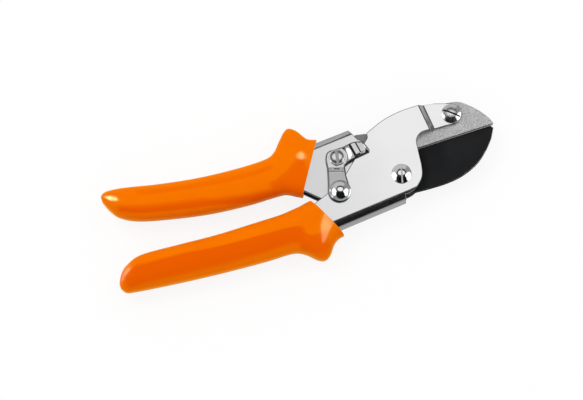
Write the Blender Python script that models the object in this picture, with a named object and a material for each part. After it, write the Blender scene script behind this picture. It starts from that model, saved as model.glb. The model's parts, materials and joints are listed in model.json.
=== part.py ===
"""Anvil pruning shears, lying on one side. Metres, +Z up.

X runs along the anvil's face toward the tip, +Y toward the anvil's back.
The pivot's axis is the world Z axis, and z = 0 is the surface the tool lies on.
"""

import math

import bmesh
import bpy
from mathutils import Matrix, Vector

# Sheet, blade and anvil
SHEET = 0.0016
LOWER_WIDTH = 0.0140
BLADE_THICKNESS = 0.0030
ANVIL_THICKNESS = 0.0050
GRIP_THICKNESS = 0.0180
GAP = 0.0003
LOWER_BEND = 0.0025
UPPER_BEND = 0.0024
OPEN_ANGLE = math.radians(26.0)

# Heights, all measured from the middle plane of the tool
MIDDLE = GRIP_THICKNESS / 2
LOWER_OUT = LOWER_WIDTH / 2
LOWER_IN = LOWER_OUT - SHEET
UPPER_OUT = LOWER_IN - GAP
UPPER_IN = UPPER_OUT - SHEET
BLADE_HALF = BLADE_THICKNESS / 2
CLAMP_BLADE_IN = BLADE_HALF + GAP
CLAMP_BLADE_OUT = CLAMP_BLADE_IN + SHEET
ANVIL_HALF = ANVIL_THICKNESS / 2
CLAMP_ANVIL_IN = ANVIL_HALF + GAP
CLAMP_ANVIL_OUT = CLAMP_ANVIL_IN + SHEET

# Lower frame: spine line, cheek edge and tang inside the grip
LOWER_SPINE_FRONT = (-0.0020, -0.0133)
LOWER_SPINE_BEND = (-0.0450, -0.0166)
LOWER_TANG_END = (-0.1360, -0.0105)
LOWER_TANG_HEIGHT = 0.0088
LOWER_TANG_SHOULDER = (-0.0600, -0.0048)
CHEEK_REAR = (-0.0470, -0.0003)
CHEEK_NOTCH = (-0.0393, 0.0025)
CHEEK_STEP = (-0.0268, 0.0095)
CHEEK_HORN = (-0.0105, 0.0237)
CHEEK_TOP = [(-0.0100, 0.0262), (0.0, 0.0300), (0.0100, 0.0317), (0.0203, 0.0318)]
ARM_TOP = [(0.0290, 0.0304), (0.0352, 0.0283)]
ARM_END_RADIUS = 0.0056
ARM_BOTTOM = (0.0300, 0.0173)
THROAT_CORNER = (0.0128, 0.0176)
THROAT_RADIUS = 0.0055
THROAT_FOOT = [(0.0121, 0.0070), (0.0112, 0.0), (0.0093, -0.0052)]
HEEL = [(0.0048, -0.0093), (0.0010, -0.0105), (-0.0014, -0.0106)]
JOGGLE_TOP = (0.0203, 0.0317)
JOGGLE_FOOT = (0.0216, 0.0178)
JOGGLE_RUN = 0.0025

# Upper frame
UPPER_SPINE_FRONT = (-0.0182, 0.0315)
UPPER_SPINE_BEND = (-0.0400, 0.0302)
UPPER_WAIST = (-0.0620, 0.0280)
UPPER_WAIST_REAR = (-0.1000, 0.0302)
UPPER_TANG_END = (-0.1400, 0.0375)
UPPER_TANG_HEIGHT = 0.0110
UPPER_WAIST_DEPTH = 0.0142
UPPER_NOSE = (-0.0152, 0.0250)
UPPER_REAR_TOP = (-0.0510, 0.0088)
UPPER_REAR_FOOT = (-0.0425, 0.0006)
UPPER_BELLY = (-0.0300, -0.0040)
PIVOT_LOBE = 0.0085
CLAMP_LINE = (-0.0200, 0.0100)
CLAMP_LINE_ANGLE = math.radians(-34.0)
CLAMP_RUN = 0.0030

# Blade and anvil outlines
ANVIL_FACE = 0.01115
ANVIL_TIP = 0.0545
ANVIL_BACK = [(0.0536, 0.0138), (0.0506, 0.0187), (0.0455, 0.0243), (0.0400, 0.0281)]
ANVIL_CROWN = [(0.0300, 0.0295), (0.0200, 0.0305)]
ANVIL_ROOT_TOP = 0.0270
BLADE_TIP = (0.0540, 0.0093)
BLADE_BELLY = [(0.0511, 0.0042), (0.0458, -0.0015), (0.0388, -0.0066), (0.0295, -0.0099),
               (0.0200, -0.0109), (0.0100, -0.0106)]
BLADE_HEEL = (0.0045, -0.0102)
BLADE_HEEL_RADIUS = 0.0104
BLADE_TANG_TOP = [(-0.0155, 0.0284), (-0.0100, 0.0273)]
BLADE_TANG_REAR = [(-0.0150, -0.0010), (-0.0176, 0.0100), (-0.0170, 0.0235)]
BLADE_SHOULDER = 0.0080
BLADE_GRIND = 0.0060
BLADE_EDGE = 0.0003

# Pivot
BOLT_HEAD_RADIUS = 0.0051
BOLT_HEAD_HEIGHT = 0.0024
BOLT_RADIUS = 0.0029
BUSH_WALL = 0.0010
WASHER_RADIUS = 0.0080
PIVOT_NUT_RADIUS = 0.0058
SLOT_WIDTH = 0.0012
SLOT_DEPTH = 0.0010
BOLT_SLOT_ANGLE = math.radians(76.0)

# Anvil screw and nut
ANVIL_SCREW_AT = (0.0352, 0.0225)
ANVIL_SCREW_HEAD = 0.0050
ANVIL_SCREW_RADIUS = 0.0022
ANVIL_SCREW_SLOT_ANGLE = math.radians(-42.0)
ANVIL_NUT_RADIUS = 0.0042
ANVIL_NUT_HEIGHT = 0.0022
SCREW_HEAD_HEIGHT = 0.0018

# Latch, its screw and the stud
LATCH_AT = (-0.0286, 0.0188)
LATCH_SCREW_HEAD = 0.0042
LATCH_SCREW_RADIUS = 0.0019
LATCH_SCREW_SLOT_ANGLE = math.radians(82.0)
LATCH_SHEET = 0.0014
LATCH_WASHER = 0.0004
LATCH_WASHER_RADIUS = 0.0048
LATCH_NUT_RADIUS = 0.0036
LATCH_NUT_HEIGHT = 0.0020
STUD_AT = (-0.0329, 0.0013)
STUD_HEAD = 0.0055
STUD_NECK = 0.0015
STUD_HEAD_HEIGHT = 0.0036
LATCH_TURN = math.radians(11.0)
LATCH_HOOK_AT = (-0.0333, 0.0015)
LATCH_HOOK_RADIUS = 0.0059
LATCH_LEFT = [(-0.0372, 0.0080), (-0.0353, 0.0150), (-0.0347, 0.0193), (-0.0333, 0.0222)]
LATCH_HEAD_TOP = [(-0.0308, 0.0234), (-0.0240, 0.0231)]
TAB_TOP = [(-0.0200, 0.0234), (-0.0162, 0.0232), (-0.0134, 0.0220)]
TAB_END = (-0.0114, 0.0170)
TAB_BOTTOM = [(-0.0120, 0.0160), (-0.0220, 0.0148), (-0.0262, 0.0133)]
LATCH_RIGHT = (-0.0273, 0.0080)
ARM_RISE_FOOT = 0.0140
ARM_RISE_TOP = 0.0112
TAB_RISE_FOOT = -0.0242
TAB_RISE_TOP = -0.0200
TAB_PAD_HEIGHT = 0.0012
TAB_PAD_FRONT = -0.0152

# Blade rivets
RIVETS = {"blade_rivet_upper": (-0.0085, 0.0140), "blade_rivet_lower": (-0.0124, 0.0018)}
RIVET_RADIUS = 0.0020
RIVET_HEAD_RADIUS = 0.0032
RIVET_HEAD_HEIGHT = LOWER_IN - CLAMP_BLADE_OUT - 3 * GAP

# Return spring and its seats
SPRING_X = -0.0385
SPRING_RADIUS = 0.0024
SPRING_WIRE = 0.0010
SPRING_TURNS = 11
POINTS_PER_TURN = 9
SEAT_PEG_RADIUS = 0.0015
SEAT_FLANGE_RADIUS = 0.0030
SEAT_FLANGE = 0.0010
SEAT_PEG = 0.0040

# Grips: stations along the length as (x, low y, high y)
UPPER_GRIP = [(-0.1502, 0.0368, 0.0392), (-0.1480, 0.0315, 0.0408), (-0.1440, 0.0262, 0.0411),
              (-0.1350, 0.0215, 0.0395), (-0.1200, 0.0175, 0.0361), (-0.1000, 0.0135, 0.0327),
              (-0.0800, 0.0114, 0.0309), (-0.0650, 0.0110, 0.0307), (-0.0590, 0.0104, 0.0323),
              (-0.0540, 0.0076, 0.0374), (-0.0500, 0.0055, 0.0414), (-0.0470, 0.0050, 0.0425),
              (-0.0435, 0.0050, 0.0397), (-0.0400, 0.0050, 0.0343), (-0.0355, 0.0050, 0.0322)]
LOWER_GRIP = [(-0.1551, -0.0095, -0.0075), (-0.1530, -0.0121, -0.0032), (-0.1490, -0.0131, 0.0006),
              (-0.1400, -0.0143, 0.0036), (-0.1200, -0.0166, 0.0025), (-0.1000, -0.0184, 0.0011),
              (-0.0800, -0.0197, 0.0007), (-0.0660, -0.0201, 0.0005), (-0.0600, -0.0226, 0.0010),
              (-0.0550, -0.0273, 0.0015), (-0.0515, -0.0289, 0.0022), (-0.0480, -0.0274, 0.0026),
              (-0.0440, -0.0225, 0.0026), (-0.0405, -0.0203, 0.0026), (-0.0372, -0.0198, 0.0026)]
UPPER_GRIP_FRONT = ((-0.0356, 0.0312), (-0.0500, 0.0086))
LOWER_GRIP_FRONT = ((-0.0490, 0.0026), (-0.0384, -0.0192))
GRIP_CORNER = 0.0070
GRIP_SIDE_STEPS = 4
GRIP_SPAN_STEPS = 2
TIP_THICKNESS = 0.0110
TIP_LENGTH = 0.0120

# Roundness
ROUND = 40
SMALL_ROUND = 28
BEND_STEPS = 6
FULL_TURN = 2 * math.pi


# Scene and material helpers

def clear_scene():
    for item in list(bpy.data.objects):
        bpy.data.objects.remove(item, do_unlink=True)


def finish_material(name, colour, roughness, metallic):
    material = bpy.data.materials.new(name)
    material.use_nodes = True
    shader = material.node_tree.nodes["Principled BSDF"]
    shader.inputs["Base Color"].default_value = (*colour, 1.0)
    shader.inputs["Roughness"].default_value = roughness
    shader.inputs["Metallic"].default_value = metallic
    return material


def add_object(name, shape, material, parent=None):
    """Put a bmesh into a named object; its points are world points before parenting."""
    bmesh.ops.remove_doubles(shape, verts=shape.verts, dist=1e-6)
    bmesh.ops.recalc_face_normals(shape, faces=shape.faces)
    if parent is not None:
        shape.transform(Matrix.Translation(-parent.location))
    mesh = bpy.data.meshes.new(name)
    shape.to_mesh(mesh)
    shape.free()
    item = bpy.data.objects.new(name, mesh)
    bpy.context.collection.objects.link(item)
    item.data.materials.append(material)
    item.parent = parent
    return item


def axis_empty(name, x, y):
    empty = bpy.data.objects.new(name, None)
    empty.location = (x, y, MIDDLE)
    bpy.context.collection.objects.link(empty)
    return empty


# Outline helpers

def turned(point, angle):
    x, y = point
    return (x * math.cos(angle) - y * math.sin(angle), x * math.sin(angle) + y * math.cos(angle))


def shifted(point, dx, dy):
    return (point[0] + dx, point[1] + dy)


def arc(centre, radius, start, end, steps):
    """Points on an arc, with start and end in degrees."""
    points = []
    for i in range(steps + 1):
        angle = math.radians(start + (end - start) * i / steps)
        points.append((centre[0] + radius * math.cos(angle), centre[1] + radius * math.sin(angle)))
    return points


def curved_slot(centre, start, turn, half):
    """The outline that a pin at start sweeps as it turns about centre."""
    reach = Vector(start) - Vector(centre)
    angle = math.degrees(math.atan2(reach.y, reach.x))
    end_angle = angle + math.degrees(turn)
    end = shifted(centre, *turned(reach, turn))
    half_turn = math.copysign(180, turn)
    return (arc(centre, reach.length + half, angle, end_angle, 6)[1:-1]
            + arc(end, half, end_angle, end_angle + half_turn, 10)
            + arc(centre, reach.length - half, end_angle, angle, 6)[1:-1]
            + arc(start, half, angle + half_turn, angle + 2 * half_turn, 10))


def smooth_run(points, steps):
    """A Catmull-Rom run through the points."""
    run = []
    for i in range(len(points) - 1):
        before = Vector(points[max(i - 1, 0)])
        start = Vector(points[i])
        end = Vector(points[i + 1])
        after = Vector(points[min(i + 2, len(points) - 1)])
        for j in range(steps):
            t = j / steps
            spot = 0.5 * (2 * start + (end - before) * t
                          + (2 * before - 5 * start + 4 * end - after) * t * t
                          + (3 * start - before - 3 * end + after) * t * t * t)
            run.append(tuple(spot))
    run.append(tuple(points[-1]))
    return run


def prism(outline, low, high):
    """A straight solid from an outline, between two heights off the middle plane."""
    shape = bmesh.new()
    bottom = [shape.verts.new((x, y, MIDDLE + low)) for x, y in outline]
    face = shape.faces.new(bottom)
    raised = bmesh.ops.extrude_face_region(shape, geom=[face])
    for vert in raised["geom"]:
        if isinstance(vert, bmesh.types.BMVert):
            vert.co.z = MIDDLE + high
    bmesh.ops.recalc_face_normals(shape, faces=shape.faces)
    return shape


def lathe(profile, x, y, segments):
    """Turn a profile of (radius, height off the middle plane) about a vertical axis."""
    shape = bmesh.new()
    verts = [shape.verts.new((radius, 0.0, height)) for radius, height in profile]
    edges = [shape.edges.new((verts[i], verts[i + 1])) for i in range(len(verts) - 1)]
    if profile[0][0] > 0 and profile[-1][0] > 0:
        edges.append(shape.edges.new((verts[-1], verts[0])))
    bmesh.ops.spin(shape, geom=verts + edges, cent=(0, 0, 0), axis=(0, 0, 1),
                   angle=FULL_TURN, steps=segments, use_merge=True)
    bmesh.ops.remove_doubles(shape, verts=shape.verts, dist=1e-6)
    bmesh.ops.recalc_face_normals(shape, faces=shape.faces)
    shape.transform(Matrix.Translation((x, y, MIDDLE)))
    return shape


def disc(radius, low, high, x, y, segments=ROUND):
    return lathe([(0.0, low), (radius, low), (radius, high), (0.0, high)], x, y, segments)


def ring(inner, outer, low, high, x, y, segments=ROUND):
    return lathe([(inner, low), (outer, low), (outer, high), (inner, high)], x, y, segments)


def hexagon(radius, low, high, x, y):
    return prism([(x + px, y + py) for px, py in arc((0, 0), radius, 0, 300, 5)], low, high)


def slot_bar(x, y, length, floor, top, angle):
    """The cutter for a screwdriver slot."""
    half = SLOT_WIDTH / 2
    corners = [(-length, -half), (length, -half), (length, half), (-length, half)]
    moved = [turned(corner, angle) for corner in corners]
    return prism([(x + px, y + py) for px, py in moved], floor, top)


def domed_profile(radius, base, height, steps=5):
    """Half of a low dome, from its rim to its crown."""
    rim = 0.3 * height
    points = [(radius, base), (radius, base + rim)]
    for i in range(1, steps + 1):
        angle = math.pi / 2 * i / steps
        points.append((radius * math.cos(angle), base + rim + (height - rim) * math.sin(angle)))
    points[-1] = (0.0, base + height)
    return points


# Boolean helper

def combined(shape, other, operation):
    """Cut or join two closed shapes and return the result as a bmesh."""
    objects = []
    for source in (shape, other):
        mesh = bpy.data.meshes.new("work")
        source.to_mesh(mesh)
        source.free()
        item = bpy.data.objects.new("work", mesh)
        bpy.context.collection.objects.link(item)
        item.hide_render = True
        item.display_type = "WIRE"
        objects.append(item)
    body, tool = objects
    change = body.modifiers.new("change", "BOOLEAN")
    change.operation = operation
    change.solver = "EXACT"
    change.object = tool
    view = bpy.context.evaluated_depsgraph_get()
    result = bmesh.new()
    result.from_mesh(body.evaluated_get(view).to_mesh())
    for item in objects:
        bpy.data.objects.remove(item, do_unlink=True)
    return result


def cut(shape, *tools):
    for tool in tools:
        shape = combined(shape, tool, "DIFFERENCE")
    return shape


def joined(shape, *others):
    for other in others:
        shape = combined(shape, other, "UNION")
    return shape


# Sheet metal helpers

def on_line(point, front, rear):
    """Whether a point lies on the stretch from front to rear, seen from the side."""
    line = Vector(rear) - Vector(front)
    reach = Vector((point.x, point.y)) - Vector(front)
    share = reach.dot(line) / line.length_squared
    return abs(line.cross(reach)) / line.length < 1e-6 and 0 <= share <= 1


def round_spine(shape, stops, half_width, radius):
    """Round the two long edges of a channel's spine, which runs straight from stop to stop."""
    chosen = []
    for edge in shape.edges:
        a, b = edge.verts[0].co, edge.verts[1].co
        level = abs(abs(a.z - MIDDLE) - half_width) < 1e-6 and abs(a.z - b.z) < 1e-6
        halfway = a.lerp(b, 0.5)
        if level and any(on_line(halfway, *ends) for ends in zip(stops, stops[1:])):
            chosen.append(edge)
    bmesh.ops.bevel(shape, geom=chosen, offset=radius, offset_type="OFFSET", segments=BEND_STEPS,
                    profile=0.5, affect="EDGES", clamp_overlap=False, material=-1)
    return shape


def step_sheet(shape, start, normal, run, drop):
    """Press both cheeks inward past a line: a joggle with flat sheet on either side."""
    direction = Vector((normal[0], normal[1], 0.0)).normalized()
    foot = Vector((start[0], start[1], MIDDLE))
    for reach in (0.0, run):
        everything = list(shape.verts) + list(shape.edges) + list(shape.faces)
        bmesh.ops.bisect_plane(shape, geom=everything, plane_co=foot + direction * reach,
                               plane_no=direction, dist=1e-7)
    for vert in shape.verts:
        share = min(max((vert.co - foot).dot(direction) / run, 0.0), 1.0)
        vert.co.z -= math.copysign(drop * share, vert.co.z - MIDDLE)
    return shape


# The outlines that mating pieces share

def lower_tang_outline(margin):
    """The side view of the lower channel inside its grip, grown by a margin."""
    rear_top = shifted(LOWER_TANG_END, 0.0, LOWER_TANG_HEIGHT)
    return [shifted(LOWER_SPINE_FRONT, margin, -margin), shifted(CHEEK_NOTCH, margin, margin),
            shifted(CHEEK_REAR, 0.0, margin), shifted(LOWER_TANG_SHOULDER, 0.0, margin),
            shifted(rear_top, -margin, margin), shifted(LOWER_TANG_END, -margin, -margin),
            shifted(LOWER_SPINE_BEND, 0.0, -margin)]


def upper_tang_outline(margin):
    """The side view of the upper channel inside its grip, grown by a margin."""
    rear_foot = shifted(UPPER_TANG_END, 0.0, -UPPER_TANG_HEIGHT)
    waist_rear_foot = shifted(UPPER_WAIST_REAR, 0.0, -UPPER_WAIST_DEPTH)
    waist_foot = shifted(UPPER_WAIST, 0.0, -UPPER_WAIST_DEPTH)
    return [shifted(UPPER_SPINE_FRONT, margin, margin), shifted(UPPER_SPINE_BEND, 0.0, margin),
            shifted(UPPER_WAIST, 0.0, margin), shifted(UPPER_WAIST_REAR, 0.0, margin),
            shifted(UPPER_TANG_END, -margin, margin), shifted(rear_foot, -margin, -margin),
            shifted(waist_rear_foot, 0.0, -margin), shifted(waist_foot, 0.0, -margin),
            shifted(UPPER_REAR_TOP, -margin, -margin), shifted(UPPER_REAR_FOOT, 0.0, -margin)]


def spine_height(front, rear, x):
    share = (x - front[0]) / (rear[0] - front[0])
    return front[1] + (rear[1] - front[1]) * share


# Frames

def build_lower_frame(material):
    arm_end = arc(ANVIL_SCREW_AT, ARM_END_RADIUS, 62, -88, 16)
    throat_centre = shifted(THROAT_CORNER, THROAT_RADIUS, -THROAT_RADIUS)
    throat = arc(throat_centre, THROAT_RADIUS, 90, 172, 10)
    tang = lower_tang_outline(0.0)
    outline = ([LOWER_SPINE_FRONT] + smooth_run(THROAT_FOOT + HEEL, 4)[::-1] + throat[::-1] + [ARM_BOTTOM]
               + arm_end[::-1] + ARM_TOP[::-1] + smooth_run(CHEEK_TOP, 5)[::-1]
               + [CHEEK_HORN, CHEEK_STEP] + tang[1:])
    shape = prism(outline, -LOWER_OUT, LOWER_OUT)
    stops = (LOWER_SPINE_FRONT, LOWER_SPINE_BEND, LOWER_TANG_END)
    round_spine(shape, stops, LOWER_OUT, LOWER_BEND)
    far = 0.1
    hollow = [shifted(LOWER_SPINE_FRONT, 0.0, SHEET), shifted(LOWER_SPINE_FRONT, 0.0, -far),
              (far, -far), (far, far), (-2 * far, far), (-2 * far, LOWER_TANG_END[1] + SHEET),
              shifted(LOWER_TANG_END, 0.0, SHEET), shifted(LOWER_SPINE_BEND, 0.0, SHEET)]
    shape = cut(shape, prism(hollow, -LOWER_IN, LOWER_IN))
    shape = cut(shape, disc(BOLT_RADIUS + GAP, -MIDDLE, MIDDLE, 0.0, 0.0),
                disc(STUD_NECK + GAP, 0.0, MIDDLE, *STUD_AT, SMALL_ROUND),
                disc(ANVIL_SCREW_RADIUS + GAP, -MIDDLE, MIDDLE, *ANVIL_SCREW_AT, SMALL_ROUND))
    slope = Vector(JOGGLE_TOP) - Vector(JOGGLE_FOOT)
    step_sheet(shape, JOGGLE_FOOT, (slope.y, -slope.x), JOGGLE_RUN, LOWER_OUT - CLAMP_ANVIL_OUT)
    return add_object("lower_frame", shape, material)


def build_upper_frame(material, parent):
    lobe = arc((0, 0), PIVOT_LOBE, -118, 62, 20)
    tang = upper_tang_outline(0.0)
    outline = [UPPER_SPINE_FRONT] + tang[1:] + [UPPER_BELLY] + lobe + [UPPER_NOSE]
    shape = prism(outline, -UPPER_OUT, UPPER_OUT)
    stops = (UPPER_SPINE_FRONT, UPPER_SPINE_BEND, UPPER_WAIST, UPPER_WAIST_REAR, UPPER_TANG_END)
    round_spine(shape, stops, UPPER_OUT, UPPER_BEND)
    far = 0.1
    hollow = [shifted(UPPER_SPINE_FRONT, 0.0, -SHEET), shifted(UPPER_SPINE_BEND, 0.0, -SHEET),
              shifted(UPPER_WAIST, 0.0, -SHEET), shifted(UPPER_WAIST_REAR, 0.0, -SHEET),
              shifted(UPPER_TANG_END, 0.0, -SHEET), (-2 * far, UPPER_TANG_END[1] - SHEET),
              (-2 * far, -far), (far, -far), (far, UPPER_SPINE_FRONT[1] - SHEET)]
    shape = cut(shape, prism(hollow, -UPPER_IN, UPPER_IN))
    shape = cut(shape, disc(BOLT_RADIUS + GAP + BUSH_WALL + GAP, -MIDDLE, MIDDLE, 0.0, 0.0),
                disc(LATCH_SCREW_RADIUS + GAP, 0.0, MIDDLE, *LATCH_AT, SMALL_ROUND))
    for spot in RIVETS.values():
        shape = cut(shape, disc(RIVET_RADIUS + GAP, -MIDDLE, MIDDLE, *spot, SMALL_ROUND))
    normal = (math.cos(CLAMP_LINE_ANGLE), math.sin(CLAMP_LINE_ANGLE))
    step_sheet(shape, CLAMP_LINE, normal, CLAMP_RUN, UPPER_OUT - CLAMP_BLADE_OUT)
    return add_object("upper_frame", shape, material, parent)


# Blade and anvil

def blade_front_edge():
    """The tang's front edge, from its top to the cutting edge."""
    return BLADE_TANG_TOP[-1], (BLADE_SHOULDER, ANVIL_FACE - GAP)


def build_blade(material, parent):
    edge_height = ANVIL_FACE - GAP
    top, shoulder = blade_front_edge()
    heel = arc((0, 0), BLADE_HEEL_RADIUS, -80, -145, 10)
    outline = ([shoulder, (BLADE_TIP[0] - 0.0012, edge_height), BLADE_TIP]
               + smooth_run(BLADE_BELLY, 4) + [BLADE_HEEL] + heel
               + BLADE_TANG_REAR + BLADE_TANG_TOP[:-1] + [top])
    shape = prism(outline, -BLADE_HALF, BLADE_HALF)
    shape = cut(shape, disc(BOLT_RADIUS + GAP + BUSH_WALL + GAP, -MIDDLE, MIDDLE, 0.0, 0.0))
    for spot in RIVETS.values():
        shape = cut(shape, disc(RIVET_RADIUS + GAP, -MIDDLE, MIDDLE, *spot, SMALL_ROUND))
    everything = list(shape.verts) + list(shape.edges) + list(shape.faces)
    bmesh.ops.bisect_plane(shape, geom=everything, plane_no=(0, 1, 0), dist=1e-7,
                           plane_co=(0, edge_height - BLADE_GRIND, MIDDLE))
    everything = list(shape.verts) + list(shape.edges) + list(shape.faces)
    bmesh.ops.bisect_plane(shape, geom=everything, plane_no=(1, 0, 0), dist=1e-7,
                           plane_co=(BLADE_SHOULDER, 0, MIDDLE))
    for vert in shape.verts:
        if vert.co.x > BLADE_SHOULDER + 1e-6 and vert.co.y > edge_height - BLADE_GRIND:
            share = (vert.co.y - (edge_height - BLADE_GRIND)) / BLADE_GRIND
            half = BLADE_HALF + (BLADE_EDGE / 2 - BLADE_HALF) * share
            vert.co.z = MIDDLE + math.copysign(half, vert.co.z - MIDDLE)
    bmesh.ops.triangulate(shape, faces=shape.faces)
    return add_object("blade", shape, material, parent)


def build_anvil(material):
    """The anvil's root is the stop that the blade's tang meets when the tool is open."""
    top, shoulder = (Vector(turned(point, -OPEN_ANGLE)) for point in blade_front_edge())
    along = (shoulder - top).normalized()
    clear = Vector((-along.y, along.x)) * 2 * GAP
    root = []
    for height in (ANVIL_ROOT_TOP, ANVIL_FACE):
        share = (height - top.y) / along.y
        root.append(tuple(top + along * share + clear))
    outline = ([root[1], (ANVIL_TIP, ANVIL_FACE)] + smooth_run(ANVIL_BACK + ANVIL_CROWN, 4) + [root[0]])
    shape = prism(outline, -ANVIL_HALF, ANVIL_HALF)
    shape = cut(shape, disc(ANVIL_SCREW_RADIUS + GAP, -MIDDLE, MIDDLE, *ANVIL_SCREW_AT, SMALL_ROUND))
    return add_object("anvil", shape, material)


# Fasteners

def slotted(name, head, height, base, foot, shank, spot, angle, material, parent=None, segments=ROUND):
    """A slotted domed screw: head above base, shank down to foot."""
    profile = [(0.0, foot), (shank, foot), (shank, base)] + domed_profile(head, base, height)
    shape = lathe(profile, *spot, segments)
    top = base + height
    shape = cut(shape, slot_bar(*spot, 2 * head, top - SLOT_DEPTH, top + GAP, angle))
    return add_object(name, shape, material, parent)


def build_pivot(steel, bright, upper):
    base = LOWER_OUT + GAP
    slotted("pivot_bolt", BOLT_HEAD_RADIUS, BOLT_HEAD_HEIGHT, base, -LOWER_OUT - GAP - SHEET / 2,
            BOLT_RADIUS, (0.0, 0.0), BOLT_SLOT_ANGLE, bright)
    nut = hexagon(PIVOT_NUT_RADIUS, -MIDDLE, -LOWER_OUT - GAP, 0.0, 0.0)
    nut = cut(nut, disc(BOLT_RADIUS + GAP, -LOWER_OUT - GAP - SHEET / 2 - GAP, 0.0, 0.0, 0.0))
    add_object("pivot_nut", nut, steel)
    bush_in = BOLT_RADIUS + GAP
    bush_out = bush_in + BUSH_WALL
    add_object("pivot_bush", ring(bush_in, bush_out, -UPPER_OUT, UPPER_OUT, 0.0, 0.0), steel, upper)
    for name, side in (("pivot_washer_front", 1), ("pivot_washer_back", -1)):
        near = side * (CLAMP_BLADE_OUT + GAP)
        away = side * (LOWER_IN - GAP)
        washer = ring(bush_out + GAP, WASHER_RADIUS, min(near, away), max(near, away), 0.0, 0.0)
        add_object(name, washer, steel)


def build_anvil_screw(steel, bright):
    foot = -CLAMP_ANVIL_OUT - ANVIL_NUT_HEIGHT
    slotted("anvil_screw", ANVIL_SCREW_HEAD, SCREW_HEAD_HEIGHT, CLAMP_ANVIL_OUT + GAP, foot,
            ANVIL_SCREW_RADIUS, ANVIL_SCREW_AT, ANVIL_SCREW_SLOT_ANGLE, bright)
    nut = hexagon(ANVIL_NUT_RADIUS, foot, -CLAMP_ANVIL_OUT - GAP, *ANVIL_SCREW_AT)
    nut = cut(nut, disc(ANVIL_SCREW_RADIUS + GAP, -MIDDLE, 0.0, *ANVIL_SCREW_AT, SMALL_ROUND))
    add_object("anvil_nut", nut, steel)


def build_rivets(steel, upper):
    for name, spot in RIVETS.items():
        low = -CLAMP_BLADE_OUT - GAP
        profile = [(0.0, low - RIVET_HEAD_HEIGHT), (RIVET_HEAD_RADIUS, low - RIVET_HEAD_HEIGHT),
                   (RIVET_HEAD_RADIUS, low), (RIVET_RADIUS, low), (RIVET_RADIUS, -low),
                   (RIVET_HEAD_RADIUS, -low), (RIVET_HEAD_RADIUS, RIVET_HEAD_HEIGHT - low),
                   (0.0, RIVET_HEAD_HEIGHT - low)]
        add_object(name, lathe(profile, *spot, SMALL_ROUND), steel, upper)


# Latch

LATCH_LOW = UPPER_OUT + GAP + LATCH_WASHER + GAP
LATCH_TOP = LATCH_LOW + LATCH_SHEET
ARM_LOW = LOWER_OUT + GAP
ARM_LIFT = ARM_LOW - LATCH_LOW
STUD_HEAD_BASE = ARM_LOW + LATCH_SHEET + GAP


def build_lock_lever(material, latch):
    hook = arc(LATCH_HOOK_AT, LATCH_HOOK_RADIUS, 10, -188, 20)
    outline = ([LATCH_RIGHT] + hook + LATCH_LEFT + LATCH_HEAD_TOP + TAB_TOP + [TAB_END] + TAB_BOTTOM)
    shape = prism(outline, LATCH_LOW, LATCH_TOP)
    mouth_half = STUD_NECK + GAP
    mouth = curved_slot((0.0, 0.0), STUD_AT, OPEN_ANGLE, mouth_half)
    pocket = curved_slot(LATCH_AT, STUD_AT, -LATCH_TURN, mouth_half)
    shape = cut(shape, prism(mouth, -MIDDLE, 2 * MIDDLE), prism(pocket, -MIDDLE, 2 * MIDDLE),
                disc(LATCH_SCREW_RADIUS + GAP, -MIDDLE, 2 * MIDDLE, *LATCH_AT, SMALL_ROUND))
    lines = [((0, ARM_RISE_FOOT), (0, -1)), ((0, ARM_RISE_TOP), (0, -1)),
             ((TAB_RISE_FOOT, 0), (1, 0)), ((TAB_RISE_TOP, 0), (1, 0)), ((TAB_PAD_FRONT, 0), (1, 0))]
    for spot, normal in lines:
        everything = list(shape.verts) + list(shape.edges) + list(shape.faces)
        bmesh.ops.bisect_plane(shape, geom=everything, dist=1e-7, plane_no=(*normal, 0),
                               plane_co=(spot[0], spot[1], MIDDLE))
    bmesh.ops.triangulate(shape, faces=shape.faces)
    for vert in shape.verts:
        arm = (ARM_RISE_FOOT - vert.co.y) / (ARM_RISE_FOOT - ARM_RISE_TOP)
        tab = (vert.co.x - TAB_RISE_FOOT) / (TAB_RISE_TOP - TAB_RISE_FOOT)
        arm = min(max(arm, 0.0), 1.0)
        tab = min(max(tab, 0.0), 1.0)
        vert.co.z += max(arm * ARM_LIFT, tab * (ARM_LIFT + TAB_PAD_HEIGHT))
    return add_object("lock_lever", shape, material, latch)


def build_latch_fasteners(steel, bright, upper):
    nut_top = UPPER_IN - GAP
    nut_low = nut_top - LATCH_NUT_HEIGHT
    slotted("latch_screw", LATCH_SCREW_HEAD, SCREW_HEAD_HEIGHT, LATCH_TOP + GAP, nut_low,
            LATCH_SCREW_RADIUS, LATCH_AT, LATCH_SCREW_SLOT_ANGLE, bright, upper, SMALL_ROUND)
    nut = hexagon(LATCH_NUT_RADIUS, nut_low, nut_top, *LATCH_AT)
    nut = cut(nut, disc(LATCH_SCREW_RADIUS + GAP, -MIDDLE, MIDDLE, *LATCH_AT, SMALL_ROUND))
    add_object("latch_nut", nut, steel, upper)
    washer = ring(LATCH_SCREW_RADIUS + GAP, LATCH_WASHER_RADIUS, UPPER_OUT + GAP,
                  UPPER_OUT + GAP + LATCH_WASHER, *LATCH_AT)
    add_object("latch_washer", washer, steel, upper)


def build_stud(material):
    dome = domed_profile(STUD_HEAD, STUD_HEAD_BASE, STUD_HEAD_HEIGHT)
    profile = [(0.0, LOWER_IN), (STUD_NECK, LOWER_IN), (STUD_NECK, STUD_HEAD_BASE)] + dome
    add_object("lock_stud", lathe(profile, *STUD_AT, ROUND), material)


# Return spring

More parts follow.
